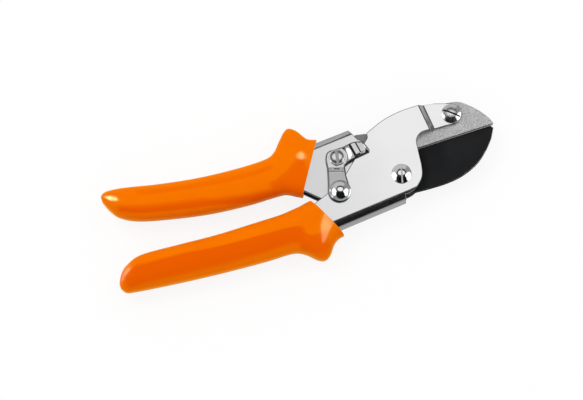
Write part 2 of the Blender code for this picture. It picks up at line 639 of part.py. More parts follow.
def seat(low, rise, x, y):
    """A flanged peg on a spine, pointing along Y."""
    shape = lathe([(0.0, 0.0), (SEAT_FLANGE_RADIUS, 0.0), (SEAT_FLANGE_RADIUS, SEAT_FLANGE),
                   (SEAT_PEG_RADIUS, SEAT_FLANGE), (SEAT_PEG_RADIUS, SEAT_PEG), (0.0, SEAT_PEG)],
                  0.0, 0.0, SMALL_ROUND)
    shape.transform(Matrix.Translation((0, 0, -MIDDLE)))
    turn = Matrix.Rotation(math.radians(-90.0 * rise), 4, "X")
    shape.transform(Matrix.Translation((x, y, MIDDLE)) @ turn)
    return shape


def build_spring(steel, upper):
    slope_allowance = 2 * GAP
    floor = spine_height(LOWER_SPINE_FRONT, LOWER_SPINE_BEND, SPRING_X) + SHEET + slope_allowance
    roof = spine_height(UPPER_SPINE_FRONT, UPPER_SPINE_BEND, SPRING_X) - SHEET - slope_allowance
    add_object("spring_seat_lower", seat(floor, 1, SPRING_X, floor), steel)
    add_object("spring_seat_upper", seat(roof, -1, SPRING_X, roof), steel, upper)
    start = floor + SEAT_FLANGE + GAP + SPRING_WIRE / 2
    end = roof - SEAT_FLANGE - GAP - SPRING_WIRE / 2
    curve = bpy.data.curves.new("return_spring", "CURVE")
    curve.dimensions = "3D"
    curve.bevel_depth = SPRING_WIRE / 2
    curve.bevel_resolution = 1
    curve.use_fill_caps = True
    spline = curve.splines.new("POLY")
    count = SPRING_TURNS * POINTS_PER_TURN + 1
    spline.points.add(count - 1)
    for i in range(count):
        angle = FULL_TURN * i / POINTS_PER_TURN
        spline.points[i].co = (SPRING_X + SPRING_RADIUS * math.cos(angle),
                               start + (end - start) * i / (count - 1),
                               MIDDLE + SPRING_RADIUS * math.sin(angle), 1.0)
    least = (end - start) / SPRING_TURNS - SPRING_WIRE
    print("return_spring: least gap between turns", round(least * 1000, 2), "mm")
    item = bpy.data.objects.new("return_spring", curve)
    bpy.context.collection.objects.link(item)
    curve.materials.append(steel)


# Grips

def rounded_section(x, low, high, half, corner):
    """A rounded rectangle across the grip at one station."""
    corner = min(corner, 0.48 * (high - low), 0.95 * half)
    points = []
    for cy, cz, start in ((high - corner, half - corner, 0), (low + corner, half - corner, 90),
                          (low + corner, corner - half, 180), (high - corner, corner - half, 270)):
        for i in range(GRIP_SIDE_STEPS + 1):
            angle = math.radians(start + 90 * i / GRIP_SIDE_STEPS)
            points.append((x, cy + corner * math.cos(angle), MIDDLE + cz + corner * math.sin(angle)))
    return points


def grip_body(stations, front):
    """A lofted sleeve blank, cut off along its slanted front edge."""
    shape = bmesh.new()
    run = smooth_run(stations, GRIP_SPAN_STEPS)
    tip = run[0][0]
    rings = []
    for x, low, high in run:
        share = min((x - tip) / TIP_LENGTH, 1.0)
        rounding = math.sqrt(max(1.0 - (1.0 - share) ** 2, 0.0))
        half = TIP_THICKNESS / 4 + (GRIP_THICKNESS / 2 - TIP_THICKNESS / 4) * rounding
        rings.append([shape.verts.new(p) for p in rounded_section(x, low, high, half, GRIP_CORNER)])
    for near, away in zip(rings, rings[1:]):
        count = len(near)
        for i in range(count):
            shape.faces.new((near[i], near[(i + 1) % count], away[(i + 1) % count], away[i]))
    shape.faces.new(rings[0])
    shape.faces.new(rings[-1])
    bmesh.ops.recalc_face_normals(shape, faces=shape.faces)
    top, foot = Vector(front[0]), Vector(front[1])
    line = foot - top
    normal = Vector((-line.y, line.x, 0.0))
    if normal.x < 0:
        normal.negate()
    everything = list(shape.verts) + list(shape.edges) + list(shape.faces)
    bmesh.ops.bisect_plane(shape, geom=everything, plane_co=(top.x, top.y, MIDDLE),
                           plane_no=normal, clear_outer=True, dist=1e-7)
    open_edges = [edge for edge in shape.edges if edge.is_boundary]
    bmesh.ops.contextual_create(shape, geom=open_edges)
    return shape


def build_grips(material, upper):
    lower = grip_body(LOWER_GRIP, LOWER_GRIP_FRONT)
    half = LOWER_OUT + GAP
    lower = cut(lower, prism(lower_tang_outline(GAP), -half, half))
    add_object("lower_grip", lower, material)
    half = UPPER_OUT + GAP
    sleeve = grip_body(UPPER_GRIP, UPPER_GRIP_FRONT)
    sleeve = cut(sleeve, prism(upper_tang_outline(GAP), -half, half))
    add_object("upper_grip", sleeve, material, upper)


def main():
    clear_scene()
    bright = finish_material("polished_steel", (0.80, 0.80, 0.82), 0.15, 1.0)
    steel = finish_material("plain_steel", (0.62, 0.62, 0.64), 0.35, 1.0)
    matte = finish_material("blasted_steel", (0.42, 0.43, 0.44), 0.60, 1.0)
    coated = finish_material("black_coating", (0.014, 0.014, 0.015), 0.45, 0.0)
    orange = finish_material("orange_plastic", (0.90, 0.20, 0.01), 0.25, 0.0)
    upper = axis_empty("upper_axis", 0.0, 0.0)
    latch = axis_empty("latch_axis", *LATCH_AT)
    build_lower_frame(bright)
    build_upper_frame(bright, upper)
    build_blade(coated, upper)
    build_anvil(matte)
    build_pivot(steel, bright, upper)
    build_anvil_screw(steel, bright)
    build_rivets(steel, upper)
    build_lock_lever(bright, latch)
    build_latch_fasteners(steel, bright, upper)
    build_stud(bright)
    build_spring(steel, upper)
    build_grips(orange, upper)


main()
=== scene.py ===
"""Anvil pruning shears, dressed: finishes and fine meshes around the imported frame."""

import json
import math
import sys

import bmesh
import bpy
from mathutils import Matrix, Vector
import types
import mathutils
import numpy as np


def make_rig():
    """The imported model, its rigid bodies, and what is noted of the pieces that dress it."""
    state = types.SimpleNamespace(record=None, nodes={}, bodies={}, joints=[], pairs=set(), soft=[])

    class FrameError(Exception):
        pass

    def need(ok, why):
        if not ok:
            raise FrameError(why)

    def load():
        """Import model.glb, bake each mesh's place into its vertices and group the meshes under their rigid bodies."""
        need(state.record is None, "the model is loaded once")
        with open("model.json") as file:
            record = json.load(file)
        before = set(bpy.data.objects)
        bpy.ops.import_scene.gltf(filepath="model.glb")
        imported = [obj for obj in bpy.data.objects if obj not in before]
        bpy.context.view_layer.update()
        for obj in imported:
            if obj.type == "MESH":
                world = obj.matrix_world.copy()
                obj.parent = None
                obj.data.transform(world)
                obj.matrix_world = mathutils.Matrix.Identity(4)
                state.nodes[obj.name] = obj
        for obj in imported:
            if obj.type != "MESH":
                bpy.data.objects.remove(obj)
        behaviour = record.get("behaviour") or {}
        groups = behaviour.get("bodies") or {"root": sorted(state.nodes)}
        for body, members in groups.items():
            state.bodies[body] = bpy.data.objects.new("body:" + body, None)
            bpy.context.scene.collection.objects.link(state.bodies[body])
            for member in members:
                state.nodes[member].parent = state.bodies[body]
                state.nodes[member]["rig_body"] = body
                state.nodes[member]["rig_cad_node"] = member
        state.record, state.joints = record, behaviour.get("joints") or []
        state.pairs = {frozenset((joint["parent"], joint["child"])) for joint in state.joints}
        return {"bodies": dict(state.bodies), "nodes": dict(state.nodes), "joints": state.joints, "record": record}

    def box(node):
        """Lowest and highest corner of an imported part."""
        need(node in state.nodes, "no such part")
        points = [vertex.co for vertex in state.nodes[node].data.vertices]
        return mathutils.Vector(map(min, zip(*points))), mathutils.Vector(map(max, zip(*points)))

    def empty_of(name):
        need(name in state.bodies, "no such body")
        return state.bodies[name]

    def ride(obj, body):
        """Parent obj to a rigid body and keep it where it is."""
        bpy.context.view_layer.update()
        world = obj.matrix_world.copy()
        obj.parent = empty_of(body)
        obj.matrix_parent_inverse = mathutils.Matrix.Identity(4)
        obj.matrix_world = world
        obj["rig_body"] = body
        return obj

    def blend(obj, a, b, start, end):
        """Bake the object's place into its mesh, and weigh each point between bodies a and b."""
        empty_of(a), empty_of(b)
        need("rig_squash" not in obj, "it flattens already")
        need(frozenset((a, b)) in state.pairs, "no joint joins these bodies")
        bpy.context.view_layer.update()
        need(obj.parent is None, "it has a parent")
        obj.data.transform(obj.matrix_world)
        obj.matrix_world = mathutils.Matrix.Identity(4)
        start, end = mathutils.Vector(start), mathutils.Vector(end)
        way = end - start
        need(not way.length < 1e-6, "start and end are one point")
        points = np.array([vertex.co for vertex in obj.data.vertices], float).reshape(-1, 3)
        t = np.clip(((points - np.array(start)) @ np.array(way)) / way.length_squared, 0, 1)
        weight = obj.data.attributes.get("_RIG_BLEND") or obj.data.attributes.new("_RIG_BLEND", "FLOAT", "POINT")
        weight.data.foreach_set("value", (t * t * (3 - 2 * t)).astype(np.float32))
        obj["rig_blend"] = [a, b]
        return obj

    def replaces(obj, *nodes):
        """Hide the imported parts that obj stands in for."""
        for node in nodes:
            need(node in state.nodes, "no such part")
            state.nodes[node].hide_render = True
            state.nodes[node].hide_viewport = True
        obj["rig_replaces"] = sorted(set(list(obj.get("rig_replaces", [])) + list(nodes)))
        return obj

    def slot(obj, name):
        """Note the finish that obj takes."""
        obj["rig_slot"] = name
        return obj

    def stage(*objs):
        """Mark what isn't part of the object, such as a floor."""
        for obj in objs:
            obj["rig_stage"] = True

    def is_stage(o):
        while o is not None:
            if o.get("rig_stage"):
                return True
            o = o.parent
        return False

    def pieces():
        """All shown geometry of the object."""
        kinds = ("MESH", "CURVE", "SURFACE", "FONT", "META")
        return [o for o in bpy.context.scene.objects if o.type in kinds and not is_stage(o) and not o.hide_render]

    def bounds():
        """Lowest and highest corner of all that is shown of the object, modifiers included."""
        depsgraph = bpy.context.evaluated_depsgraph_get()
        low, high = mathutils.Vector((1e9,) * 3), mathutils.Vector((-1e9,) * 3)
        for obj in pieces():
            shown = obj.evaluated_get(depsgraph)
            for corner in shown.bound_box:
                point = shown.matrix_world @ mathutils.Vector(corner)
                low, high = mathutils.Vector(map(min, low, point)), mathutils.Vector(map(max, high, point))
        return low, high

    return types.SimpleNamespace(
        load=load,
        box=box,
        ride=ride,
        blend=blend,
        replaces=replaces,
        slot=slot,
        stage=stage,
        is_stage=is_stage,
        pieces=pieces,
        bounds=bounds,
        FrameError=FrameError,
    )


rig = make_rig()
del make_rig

bl_info = {
    "name": "Anvil Pruning Shears",
    "version": (1, 0, 0),
    "blender": (4, 5, 0),
    "location": "View3D > Sidebar > Shears",
    "description": "Builds the looks of a pair of anvil pruning shears around their solid frame",
    "category": "Object",
}

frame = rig.load()
CAD_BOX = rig.bounds()

# Places read from the frame, all in metres


def node_corners(name):
    return [Vector(corner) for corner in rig.box(name)]


def node_centre(name):
    low, high = node_corners(name)
    return (low + high) / 2


def node_span(name, axis):
    low, high = node_corners(name)
    return high[axis] - low[axis]


MIDDLE = node_centre("lower_frame").z
GAP = 0.0003
LATCH_SCREW = node_centre("latch_screw")
STUD = node_centre("lock_stud")
LOWER_HALF = node_span("lower_frame", 2) / 2
UPPER_HALF = node_span("upper_frame", 2) / 2
GRIP_HALF = node_span("lower_grip", 2) / 2
OPEN_ANGLE = math.radians(frame["joints"][0]["range_deg"][1])
LATCH_TURN = math.radians(frame["joints"][1]["range_deg"][1])
FULL_TURN = 2 * math.pi
PRISM_REACH = 0.03

# Meshing: merge distances, angles in degrees, and steps round slots and turned pieces
WELD = 1e-7
NODE_WELD = 1e-6
NODE_SLIVER = 2e-5
FLAT_ANGLE = 1.0
EDGE_ANGLE = 40.0
SMOOTH_ANGLE = 32.0
HEAD_SMOOTH_ANGLE = 35.0
SOFT_SMOOTH_ANGLE = 50.0
SLOT_RUN_STEPS = 10
SLOT_END_STEPS = 16
HOLE_STEPS = 36
LATHE_STEPS = 96
EDGES_PER_THICKNESS = 5

# Grip stations along the length: x, low y, high y
UPPER_GRIP = [(-0.1502, 0.0368, 0.0392), (-0.1480, 0.0315, 0.0408), (-0.1440, 0.0262, 0.0411),
              (-0.1350, 0.0215, 0.0395), (-0.1200, 0.0175, 0.0361), (-0.1000, 0.0135, 0.0327),
              (-0.0800, 0.0114, 0.0309), (-0.0650, 0.0110, 0.0307), (-0.0590, 0.0104, 0.0323),
              (-0.0540, 0.0076, 0.0374), (-0.0500, 0.0055, 0.0414), (-0.0470, 0.0050, 0.0424),
              (-0.0435, 0.0050, 0.0397), (-0.0400, 0.0050, 0.0343), (-0.0355, 0.0050, 0.0322)]
LOWER_GRIP = [(-0.1551, -0.0095, -0.0075), (-0.1530, -0.0121, -0.0032), (-0.1490, -0.0131, 0.0006),
              (-0.1400, -0.0143, 0.0036), (-0.1200, -0.0166, 0.0025), (-0.1000, -0.0184, 0.0011),
              (-0.0800, -0.0197, 0.0007), (-0.0660, -0.0201, 0.0005), (-0.0600, -0.0226, 0.0010),
              (-0.0550, -0.0273, 0.0015), (-0.0515, -0.0289, 0.0022), (-0.0480, -0.0274, 0.0026),
              (-0.0440, -0.0225, 0.0026), (-0.0405, -0.0203, 0.0026), (-0.0372, -0.0198, 0.0026)]
UPPER_GRIP_FRONT = ((-0.0356, 0.0312), (-0.0500, 0.0086))
LOWER_GRIP_FRONT = ((-0.0490, 0.0026), (-0.0384, -0.0192))
UPPER_RIDGE = -0.05
LOWER_RIDGE = 0.22
GRIP_RIDGE_FALL = 0.1
RIDGE_SOFTNESS = 0.06
GRIP_CORNER = 0.007
GRIP_CORNER_SHARE = 0.92
GRIP_CORNER_STEPS = 8
GRIP_SIDE_STEPS = 14
GRIP_TOP_STEPS = 2
GRIP_SPAN_STEPS = 8
TIP_LENGTH = 0.012
TIP_HALF = 0.00275
GRIP_EDGE = 0.0006
GRIP_EDGE_STEPS = 3

# Bands of painted shade along the grips: two ends as x, low and high share of the height,
# then the softness of the low and high rims and the depth of the painted shade
LOWER_HOLLOWS = [((-0.1500, -0.62, 0.36), (-0.0590, -0.50, 0.10), 0.34, 0.05, 1.0),
                 ((-0.0600, -0.80, -0.16), (-0.0490, -0.70, -0.26), 0.25, 0.05, 0.9)]
UPPER_HOLLOWS = [((-0.1420, -0.64, -0.52), (-0.1000, -0.64, -0.52), 0.16, 0.40, 1.0),
                 ((-0.1000, -0.66, -0.54), (-0.0640, -1.05, -0.90), 0.14, 0.28, 1.0),
                 ((-0.0640, -1.10, -0.42), (-0.0470, -1.10, 0.02), 0.05, 0.10, 0.75),
                 ((-0.1300, 0.44, 0.56), (-0.0640, 0.30, 0.42), 0.16, 0.16, 0.45)]
HOLLOW_END = 0.004

# Spine lines seen from the side, outermost, then each bend's reach inward, its depth across
# and how crisply it starts
LOWER_SPINE = ((-0.0450, -0.0166), (-0.0020, -0.0133))
UPPER_SPINE = ((-0.0182, 0.0315), (-0.0400, 0.0302))
PRESSED_BEND = 0.0025
LOWER_SWEEP = (0.0044, 0.0030, 0.36)
UPPER_SWEEP = (0.0040, 0.0024, 0.15)
SWEEP_STEPS = 14

# Channel outlines inside the grips
LOWER_TANG = [(-0.0020, -0.0133), (-0.0393, 0.0025), (-0.0470, -0.0003), (-0.0600, -0.0048),
              (-0.1360, -0.0017), (-0.1360, -0.0105), (-0.0450, -0.0166)]
UPPER_TANG = [(-0.0182, 0.0315), (-0.0400, 0.0302), (-0.0620, 0.0280), (-0.1000, 0.0302),
              (-0.1400, 0.0375), (-0.1400, 0.0265), (-0.1000, 0.0160), (-0.0620, 0.0138),
              (-0.0510, 0.0088), (-0.0425, 0.0006)]

# Latch outline and rises
LATCH_HOOK = (-0.0333, 0.0015)
LATCH_HOOK_RADIUS = 0.0059
LATCH_HOOK_SWEEP = (10, -188, 40)
LATCH_HOLE = 0.0022
LATCH_LEFT = [(-0.0372, 0.0080), (-0.0353, 0.0150), (-0.0347, 0.0193), (-0.0333, 0.0222)]
LATCH_HEAD_TOP = [(-0.0308, 0.0234), (-0.0240, 0.0231)]
TAB_TOP = [(-0.0200, 0.0234), (-0.0162, 0.0232), (-0.0134, 0.0220)]
TAB_END = (-0.0114, 0.0170)
TAB_BOTTOM = [(-0.0262, 0.0133), (-0.0220, 0.0148), (-0.0120, 0.0160)]
LATCH_RIGHT = (-0.0273, 0.0080)
LATCH_SHEET = 0.0014
LATCH_ROUND = 0.0007
LATCH_ROUND_STEPS = 4
LATCH_RUN_STEPS = 6
TAB_RUN_STEPS = 4
LATCH_CELL = 0.0003
ARM_RISE_FOOT = 0.0141
ARM_RISE_MIDDLE = -0.0312
ARM_SKEW = 0.34
# Along the skewed line up the arm, where the arm's painted shade gives way to the head's full colour
ARM_DARK_RUN = (0.0001, 0.0009)
TAB_REAR = -0.0262
TAB_BLEND = 0.0015
TAB_SKEW = 0.17
FLANGE_REACH = 0.0024
FLANGE_DROP = 0.0011

# The rise down to the arm: distance from its foot, then the slope there
RISE_SLOPES = [(0.0, 0.0), (0.0001, 0.13), (0.0006, 0.28), (0.0008, 0.58), (0.0022, 0.58),
               (0.0024, 0.28), (0.0029, 0.13), (0.0030, 0.0)]

# The ramp up to the tab: distance from the latch screw, then the slope there
RAMP_SLOPES = [(0.0047, 0.0), (0.00485, 0.14), (0.0056, 0.30), (0.0060, 0.58), (0.0076, 0.58),
               (0.0081, 0.0)]

# The tab beyond its ramp: distance from the latch screw, then the fall below its top
PAD_STEP = (0.0088, 0.0093)
TAB_FALLS = [(0.0081, 0.0), (0.0088, 0.0002), (0.0093, 0.0), (0.0116, 0.0), (0.0122, 0.0005),
             (0.0148, 0.0008), (0.0158, 0.0004), (0.0176, 0.0011)]
# Bands across the tab, as distances from the latch screw, painted dark as the shade of its groove and pad line
TAB_GROOVE = (0.0080, 0.0092)
TAB_PAD_LINE = (0.0116, 0.0123)

# Along x, where the sheets' painted shade toward the handles gives way to full brightness; along -x, where the blade's
# coating ends; its tang
SHEET_DULL_RUN = (-0.04, 0.0)
BARE_TANG_RUN = (0.004, 0.005)
BARE_TANG = (0.34, 0.34, 0.34)

# Screw heads: shank radius, slot depth, half width and angle, dome's share of the head
PIVOT_HEAD = (0.0029, 0.0018, 0.00042, 76, 1)
ANVIL_HEAD = (0.0022, 0.0012, 0.00045, -40, 1)
LATCH_HEAD = (0.0019, 0.0011, 0.0008, 80, 0.83)
SLOT_FLOOR_MARGIN = GAP / 2
SLOT_SIDE_MARGIN = GAP / 8
HEAD_RIM = 0.0004
HEAD_CHAMFER = 0.0002
COLLAR_HEIGHT = 0.001
COLLAR_CHAMFER = 0.0001
DOME_STEPS = 48
STUD_HEAD = 0.0036
STUD_NECK = 0.0015

# Turned ripples: their height, then the radius at which they start and their spacing
RIPPLE_HEIGHT = 0.000007
STUD_RIPPLES = (0.0030, 0.00045)
ANVIL_RIPPLES = (0.0008, 0.0007)

# Spring
SPRING_WIRE = 0.001
SPRING_TURNS = 11
SPRING_POINTS = 24

# Camera, as the photograph shows the object
PHOTO_WIDTH = 583
PHOTO_HEIGHT = 400
METRES_PER_PIXEL = 0.0005166
PIVOT_PIXEL = (401.0, 176.9)
TURN_IN_PLANE = math.radians(18.8)
TILT = math.radians(13.0)
CAMERA_DISTANCE = 1.4
CAMERA_CLIP = (0.05, 20.0)
SENSOR_MM = 36.0

# Lamps: place, length and width, and power
LAMPS = {"key_lamp": ((-0.45, 0.55, 0.95), (0.55, 0.40), 3.0),
         "fill_lamp": ((0.55, 0.25, 0.80), (0.40, 0.60), 1.0)}
LAMP_TARGET = (-0.05, 0.0, 0.0)

# Small lamps that one piece alone catches: the piece, x and y of the highlight, the lamp's
# length and width, the direction of its length in degrees, and its light
GLINTS = [("dipped_upper_grip", -0.0450, 0.0260, 0.0046, 0.0066, 0, 420),
          ("dipped_upper_grip", -0.1466, 0.0366, 0.1100, 0.0500, -43, 1400),
          ("dipped_lower_grip", -0.0463, -0.0175, 0.0340, 0.0180, 59, 320),
          ("dipped_lower_grip", -0.1516, -0.0050, 0.1000, 0.0400, 41, 900)]
GLINT_SPREAD = 0.0006
GLINT_DISTANCE = 0.1
GLINT_START = 1.0

# The room that the metal mirrors: patches as azimuth, elevation, half angle, softness, light
WALL_LEVEL = 0.3
ROOM_PATCHES = [(90, 18, 44, 8, 0.58), (-95, 52, 44, 6, 0.0), (71, 77, 34, 3, 0.02),
                (71, 77, 18, 4, 1.0), (33, 74, 15, 4, 1.0), (109, 74, 15, 4, 1.0),
                (158, 26, 15, 4, 2.4), (182, 24, 15, 4, 2.4), (168, 40, 9, 4, 2.4),
                (-16, 28, 15, 4, 2.4), (-40, 24, 15, 4, 2.4), (-26, 44, 12, 4, 2.4)]

# The room that matt surfaces see: a direction, the run toward it and the levels at its ends
MATT_SIDE = (0.0, 0.6, 0.8)
MATT_RUN = (-0.3, 0.9)
MATT_LEVELS = (0.98, 0.97)

# The floor: its width, its level in mirrors and how much plain white the camera sees
FLOOR_SIZE = 6.0
FLOOR_MIRRORED = 0.41
FLOOR_GLOW = 0.86
WHITE = (1.0, 1.0, 1.0)


# What a user may change

def colour_choice(name, description, default):
    return bpy.props.FloatVectorProperty(name=name, description=description, default=default,
                                         subtype="COLOR", size=3, min=0.0, max=1.0)


def size_choice(name, description, default, least, most):
    return bpy.props.FloatProperty(name=name, description=description, default=default,
                                   unit="LENGTH", min=least, max=most, precision=5)


class ShearsColours(bpy.types.PropertyGroup):
    grip: colour_choice("Grip", "Colour of the dipped plastic grips", (0.775, 0.154, 0.0))
    blade: colour_choice("Blade coating", "Colour of the blade's dark coating",
                         (0.011, 0.0112, 0.0118))
    steel: colour_choice("Polished steel", "Tint of the polished steel", (0.86, 0.86, 0.87))
    anvil: colour_choice("Anvil", "Tint of the blasted anvil", (0.66, 0.66, 0.66))
    floor: colour_choice("Floor", "Colour of the studio floor", (0.82, 0.82, 0.82))


class ShearsSizes(bpy.types.PropertyGroup):
    edge: size_choice("Sheet edge", "Rounding of the pressed sheet's edges",
                      0.00035, 0.00002, 0.0006)
    fastener_edge: size_choice("Fastener edge", "Rounding of nuts, slots and small pieces",
                               0.00015, 0.00002, 0.0004)
    blade_edge: size_choice("Blade edge", "Width of the blade's ground and worn edges",
                            0.00012, 0.00002, 0.0003)
    spring_wire: size_choice("Spring wire", "Diameter of the return spring's wire",
                             SPRING_WIRE, 0.0004, 0.0016)


def colours():
    return bpy.context.scene.shears_colours


def sizes():
    return bpy.context.scene.shears_sizes


# Outline helpers

def turned(point, angle):
    x, y = point
    return (x * math.cos(angle) - y * math.sin(angle), x * math.sin(angle) + y * math.cos(angle))


def shifted(point, dx, dy):
    return (point[0] + dx, point[1] + dy)


def arc(centre, radius, start, end, steps):
    points = []
    for i in range(steps + 1):
        angle = math.radians(start + (end - start) * i / steps)
        points.append((centre[0] + radius * math.cos(angle), centre[1] + radius * math.sin(angle)))
    return points


def circle(centre, radius):
    return arc(centre, radius, 0, 360, HOLE_STEPS)[:-1]


def curved_slot(centre, start, turn, half):
    """The outline that a pin at start sweeps as it turns about centre."""
    reach = Vector(start) - Vector(centre)
    angle = math.degrees(math.atan2(reach.y, reach.x))
    end_angle = angle + math.degrees(turn)
    end = shifted(centre, *turned(reach, turn))
    half_turn = math.copysign(180, turn)
    return (arc(centre, reach.length + half, angle, end_angle, SLOT_RUN_STEPS)[1:-1]
            + arc(end, half, end_angle, end_angle + half_turn, SLOT_END_STEPS)
            + arc(centre, reach.length - half, end_angle, angle, SLOT_RUN_STEPS)[1:-1]
            + arc(start, half, angle + half_turn, angle + 2 * half_turn, SLOT_END_STEPS))


def smooth_run(points, steps):
    """A Catmull-Rom run through the points."""
    run = []
    for i in range(len(points) - 1):
        before = Vector(points[max(i - 1, 0)])
        start = Vector(points[i])
        end = Vector(points[i + 1])
        after = Vector(points[min(i + 2, len(points) - 1)])
        for j in range(steps):
            t = j / steps
            run.append(tuple(0.5 * (2 * start + (end - before) * t
                                    + (2 * before - 5 * start + 4 * end - after) * t * t
                                    + (3 * start - before - 3 * end + after) * t * t * t)))
    run.append(tuple(points[-1]))
    return run


def clamped(value):
    return min(max(value, 0.0), 1.0)


def between(start, end, share):
    return start + (end - start) * share


def smooth_step(value):
    value = clamped(value)
    return value * value * (3 - 2 * value)


TAB_LOWER_RUN = smooth_run(TAB_BOTTOM, TAB_RUN_STEPS) + [TAB_END]


# Mesh helpers

def prism(outline, low, high):
    shape = bmesh.new()
    face = shape.faces.new([shape.verts.new((x, y, low)) for x, y in outline])
    raised = bmesh.ops.extrude_face_region(shape, geom=[face])
    for vert in raised["geom"]:
        if isinstance(vert, bmesh.types.BMVert):
            vert.co.z = high
    bmesh.ops.recalc_face_normals(shape, faces=shape.faces)
    return shape


def lathe(profile, centre):
    """Turn a profile of (radius, z) about a vertical axis through centre."""
    shape = bmesh.new()
    verts = [shape.verts.new((radius, 0.0, height)) for radius, height in profile]
    edges = [shape.edges.new(pair) for pair in zip(verts, verts[1:])]
    if profile[0][0] > 0 and profile[-1][0] > 0:
        edges.append(shape.edges.new((verts[-1], verts[0])))
    bmesh.ops.spin(shape, geom=verts + edges, cent=(0, 0, 0), axis=(0, 0, 1),
                   angle=FULL_TURN, steps=LATHE_STEPS, use_merge=True)
    bmesh.ops.remove_doubles(shape, verts=shape.verts, dist=WELD)
    bmesh.ops.recalc_face_normals(shape, faces=shape.faces)
    shape.transform(Matrix.Translation((centre[0], centre[1], 0.0)))
    return shape


def turned_to_mesh(shape, name):
    mesh = bpy.data.meshes.new(name)
    shape.to_mesh(mesh)
    shape.free()
    return mesh


def set_out(name, data):
    """A new object for a mesh, curve, lamp or camera, put into the scene."""
    item = bpy.data.objects.new(name, data)
    bpy.context.collection.objects.link(item)
    return item


def cut(shape, tool):
    """Take one closed shape away from another."""
    pair = [set_out("work", turned_to_mesh(source, "work")) for source in (shape, tool)]
    change = pair[0].modifiers.new("cut", "BOOLEAN")
    change.operation = "DIFFERENCE"
    change.solver = "EXACT"
    change.object = pair[1]
    view = bpy.context.evaluated_depsgraph_get()
    result = bmesh.new()
    result.from_mesh(pair[0].evaluated_get(view).to_mesh())
    for item in pair:
        bpy.data.objects.remove(item, do_unlink=True)
    bmesh.ops.remove_doubles(result, verts=result.verts, dist=WELD)
    return result


def slice_shape(shape, spot, normal, drop=False):
    """Cut a shape's faces along a plane, and drop what lies beyond it if asked."""
    everything = list(shape.verts) + list(shape.edges) + list(shape.faces)
    bmesh.ops.bisect_plane(shape, geom=everything, plane_co=spot, plane_no=normal,
                           clear_outer=drop, dist=WELD)


def add_piece(name, shape, finishes, body, slot, nodes, edge=0.0, smooth_angle=SMOOTH_ANGLE,
              segments=2, own_edge=False):
    """Show a bmesh for CAD nodes on a body; with own_edge its edges take the second finish."""
    mesh = turned_to_mesh(shape, name)
    mesh.shade_smooth()
    mesh.set_sharp_from_angle(angle=math.radians(smooth_angle))
    for finish in finishes:
        mesh.materials.append(material(finish))
    piece = set_out(name, mesh)
    if edge > 0:
        rounding = piece.modifiers.new("rounded edges", "BEVEL")
        rounding.width = edge
        rounding.segments = segments
        rounding.limit_method = "ANGLE"
        rounding.angle_limit = math.radians(EDGE_ANGLE)
        rounding.material = 1 if own_edge else -1
        rounding.use_clamp_overlap = not own_edge
        evening = piece.modifiers.new("even shading", "WEIGHTED_NORMAL")
        evening.keep_sharp = True
    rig.ride(piece, body)
    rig.slot(piece, slot)
    if nodes:
        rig.replaces(piece, *nodes)
    return piece


def copied_node(name):
    """The node's own solid as a bmesh with its flat faces whole again."""
    shape = bmesh.new()
    shape.from_mesh(frame["nodes"][name].data)
    bmesh.ops.remove_doubles(shape, verts=shape.verts, dist=NODE_WELD)
    bmesh.ops.dissolve_limit(shape, angle_limit=math.radians(FLAT_ANGLE), verts=shape.verts,
                             edges=shape.edges)
    bmesh.ops.dissolve_degenerate(shape, edges=shape.edges, dist=NODE_SLIVER)
    return shape


# Material helpers

FINISH_PREFIX = "fine_"
NOISE_RANGE = (0.3, 0.7)
COLOUR_RANGE = (0.35, 0.65)


class Tree:
    """A shader's node tree with short ways to add its nodes."""

    def __init__(self, owner):
        owner.use_nodes = True
        self.nodes = owner.node_tree.nodes
        self.links = owner.node_tree.links

    def feed(self, socket, value):
        """Link a socket to another node's output, or set it to a value."""
        if isinstance(value, bpy.types.NodeSocket):
            self.links.new(value, socket)
        elif value is not None:
            socket.default_value = (*value, 1.0) if socket.type == "RGBA" else value

    def add(self, kind, inputs, **settings):
        node = self.nodes.new("ShaderNode" + kind)
        for key, value in settings.items():
            setattr(node, key, value)
        for key, value in inputs.items():
            self.feed(node.inputs[key], value)
        return node

    def spread(self, value, low, high, out_low=0.0, out_high=1.0, kind="LINEAR"):
        node = self.add("MapRange", {
            "Value": value, "From Min": low, "From Max": high, "To Min": out_low,
            "To Max": out_high}, interpolation_type=kind)
        return node.outputs["Result"]

    def toward(self, vector, direction):
        """How far a vector goes along a direction."""
        node = self.add("VectorMath", {0: vector, 1: direction}, operation="DOT_PRODUCT")
        return node.outputs["Value"]

    def mix_shader(self, factor, first, second):
        return self.add("MixShader", {"Fac": factor, 1: first.outputs[0], 2: second.outputs[0]})


class Recipe(Tree):
    """A Principled material with short ways to add its patterns."""

    def __init__(self, name):
        self.material = bpy.data.materials.new(FINISH_PREFIX + name)
        super().__init__(self.material)
        self.shader = self.nodes["Principled BSDF"]
        self.place = self.add("TexCoord", {}).outputs["Object"]

    def set(self, **values):
        """Set or link the shader's sockets, named with underscores for spaces."""
        for key, value in values.items():
            self.feed(self.shader.inputs[key.replace("_", " ")], value)

    def mapped(self, scale):
        node = self.add("Mapping", {"Scale": scale, "Vector": self.place})
        return node.outputs["Vector"]

    def noise(self, scale, detail=3.0, roughness=0.5, vector=None):
        node = self.add("TexNoise", {
            "Scale": scale, "Detail": detail, "Roughness": roughness,
            "Vector": vector or self.place})
        return node.outputs["Fac"]

    def drift(self, noise, low=0.0, high=1.0):
        """A value that goes from low to high over a noise's usual range."""
        return self.spread(noise, *NOISE_RANGE, low, high)

    def blend(self, factor, first, second):
        node = self.add("Mix", {"Factor": factor, 6: first, 7: second}, data_type="RGBA")
        return node.outputs[2]

    def bump(self, height, strength, distance, below=None):
        node = self.add("Bump", {
            "Strength": strength, "Distance": distance, "Height": height, "Normal": below})
        return node.outputs["Normal"]


def shades(colour, *factors):
    """The colour times each factor, held at full brightness."""
    return [tuple(min(channel * factor, 1.0) for channel in colour) for factor in factors]


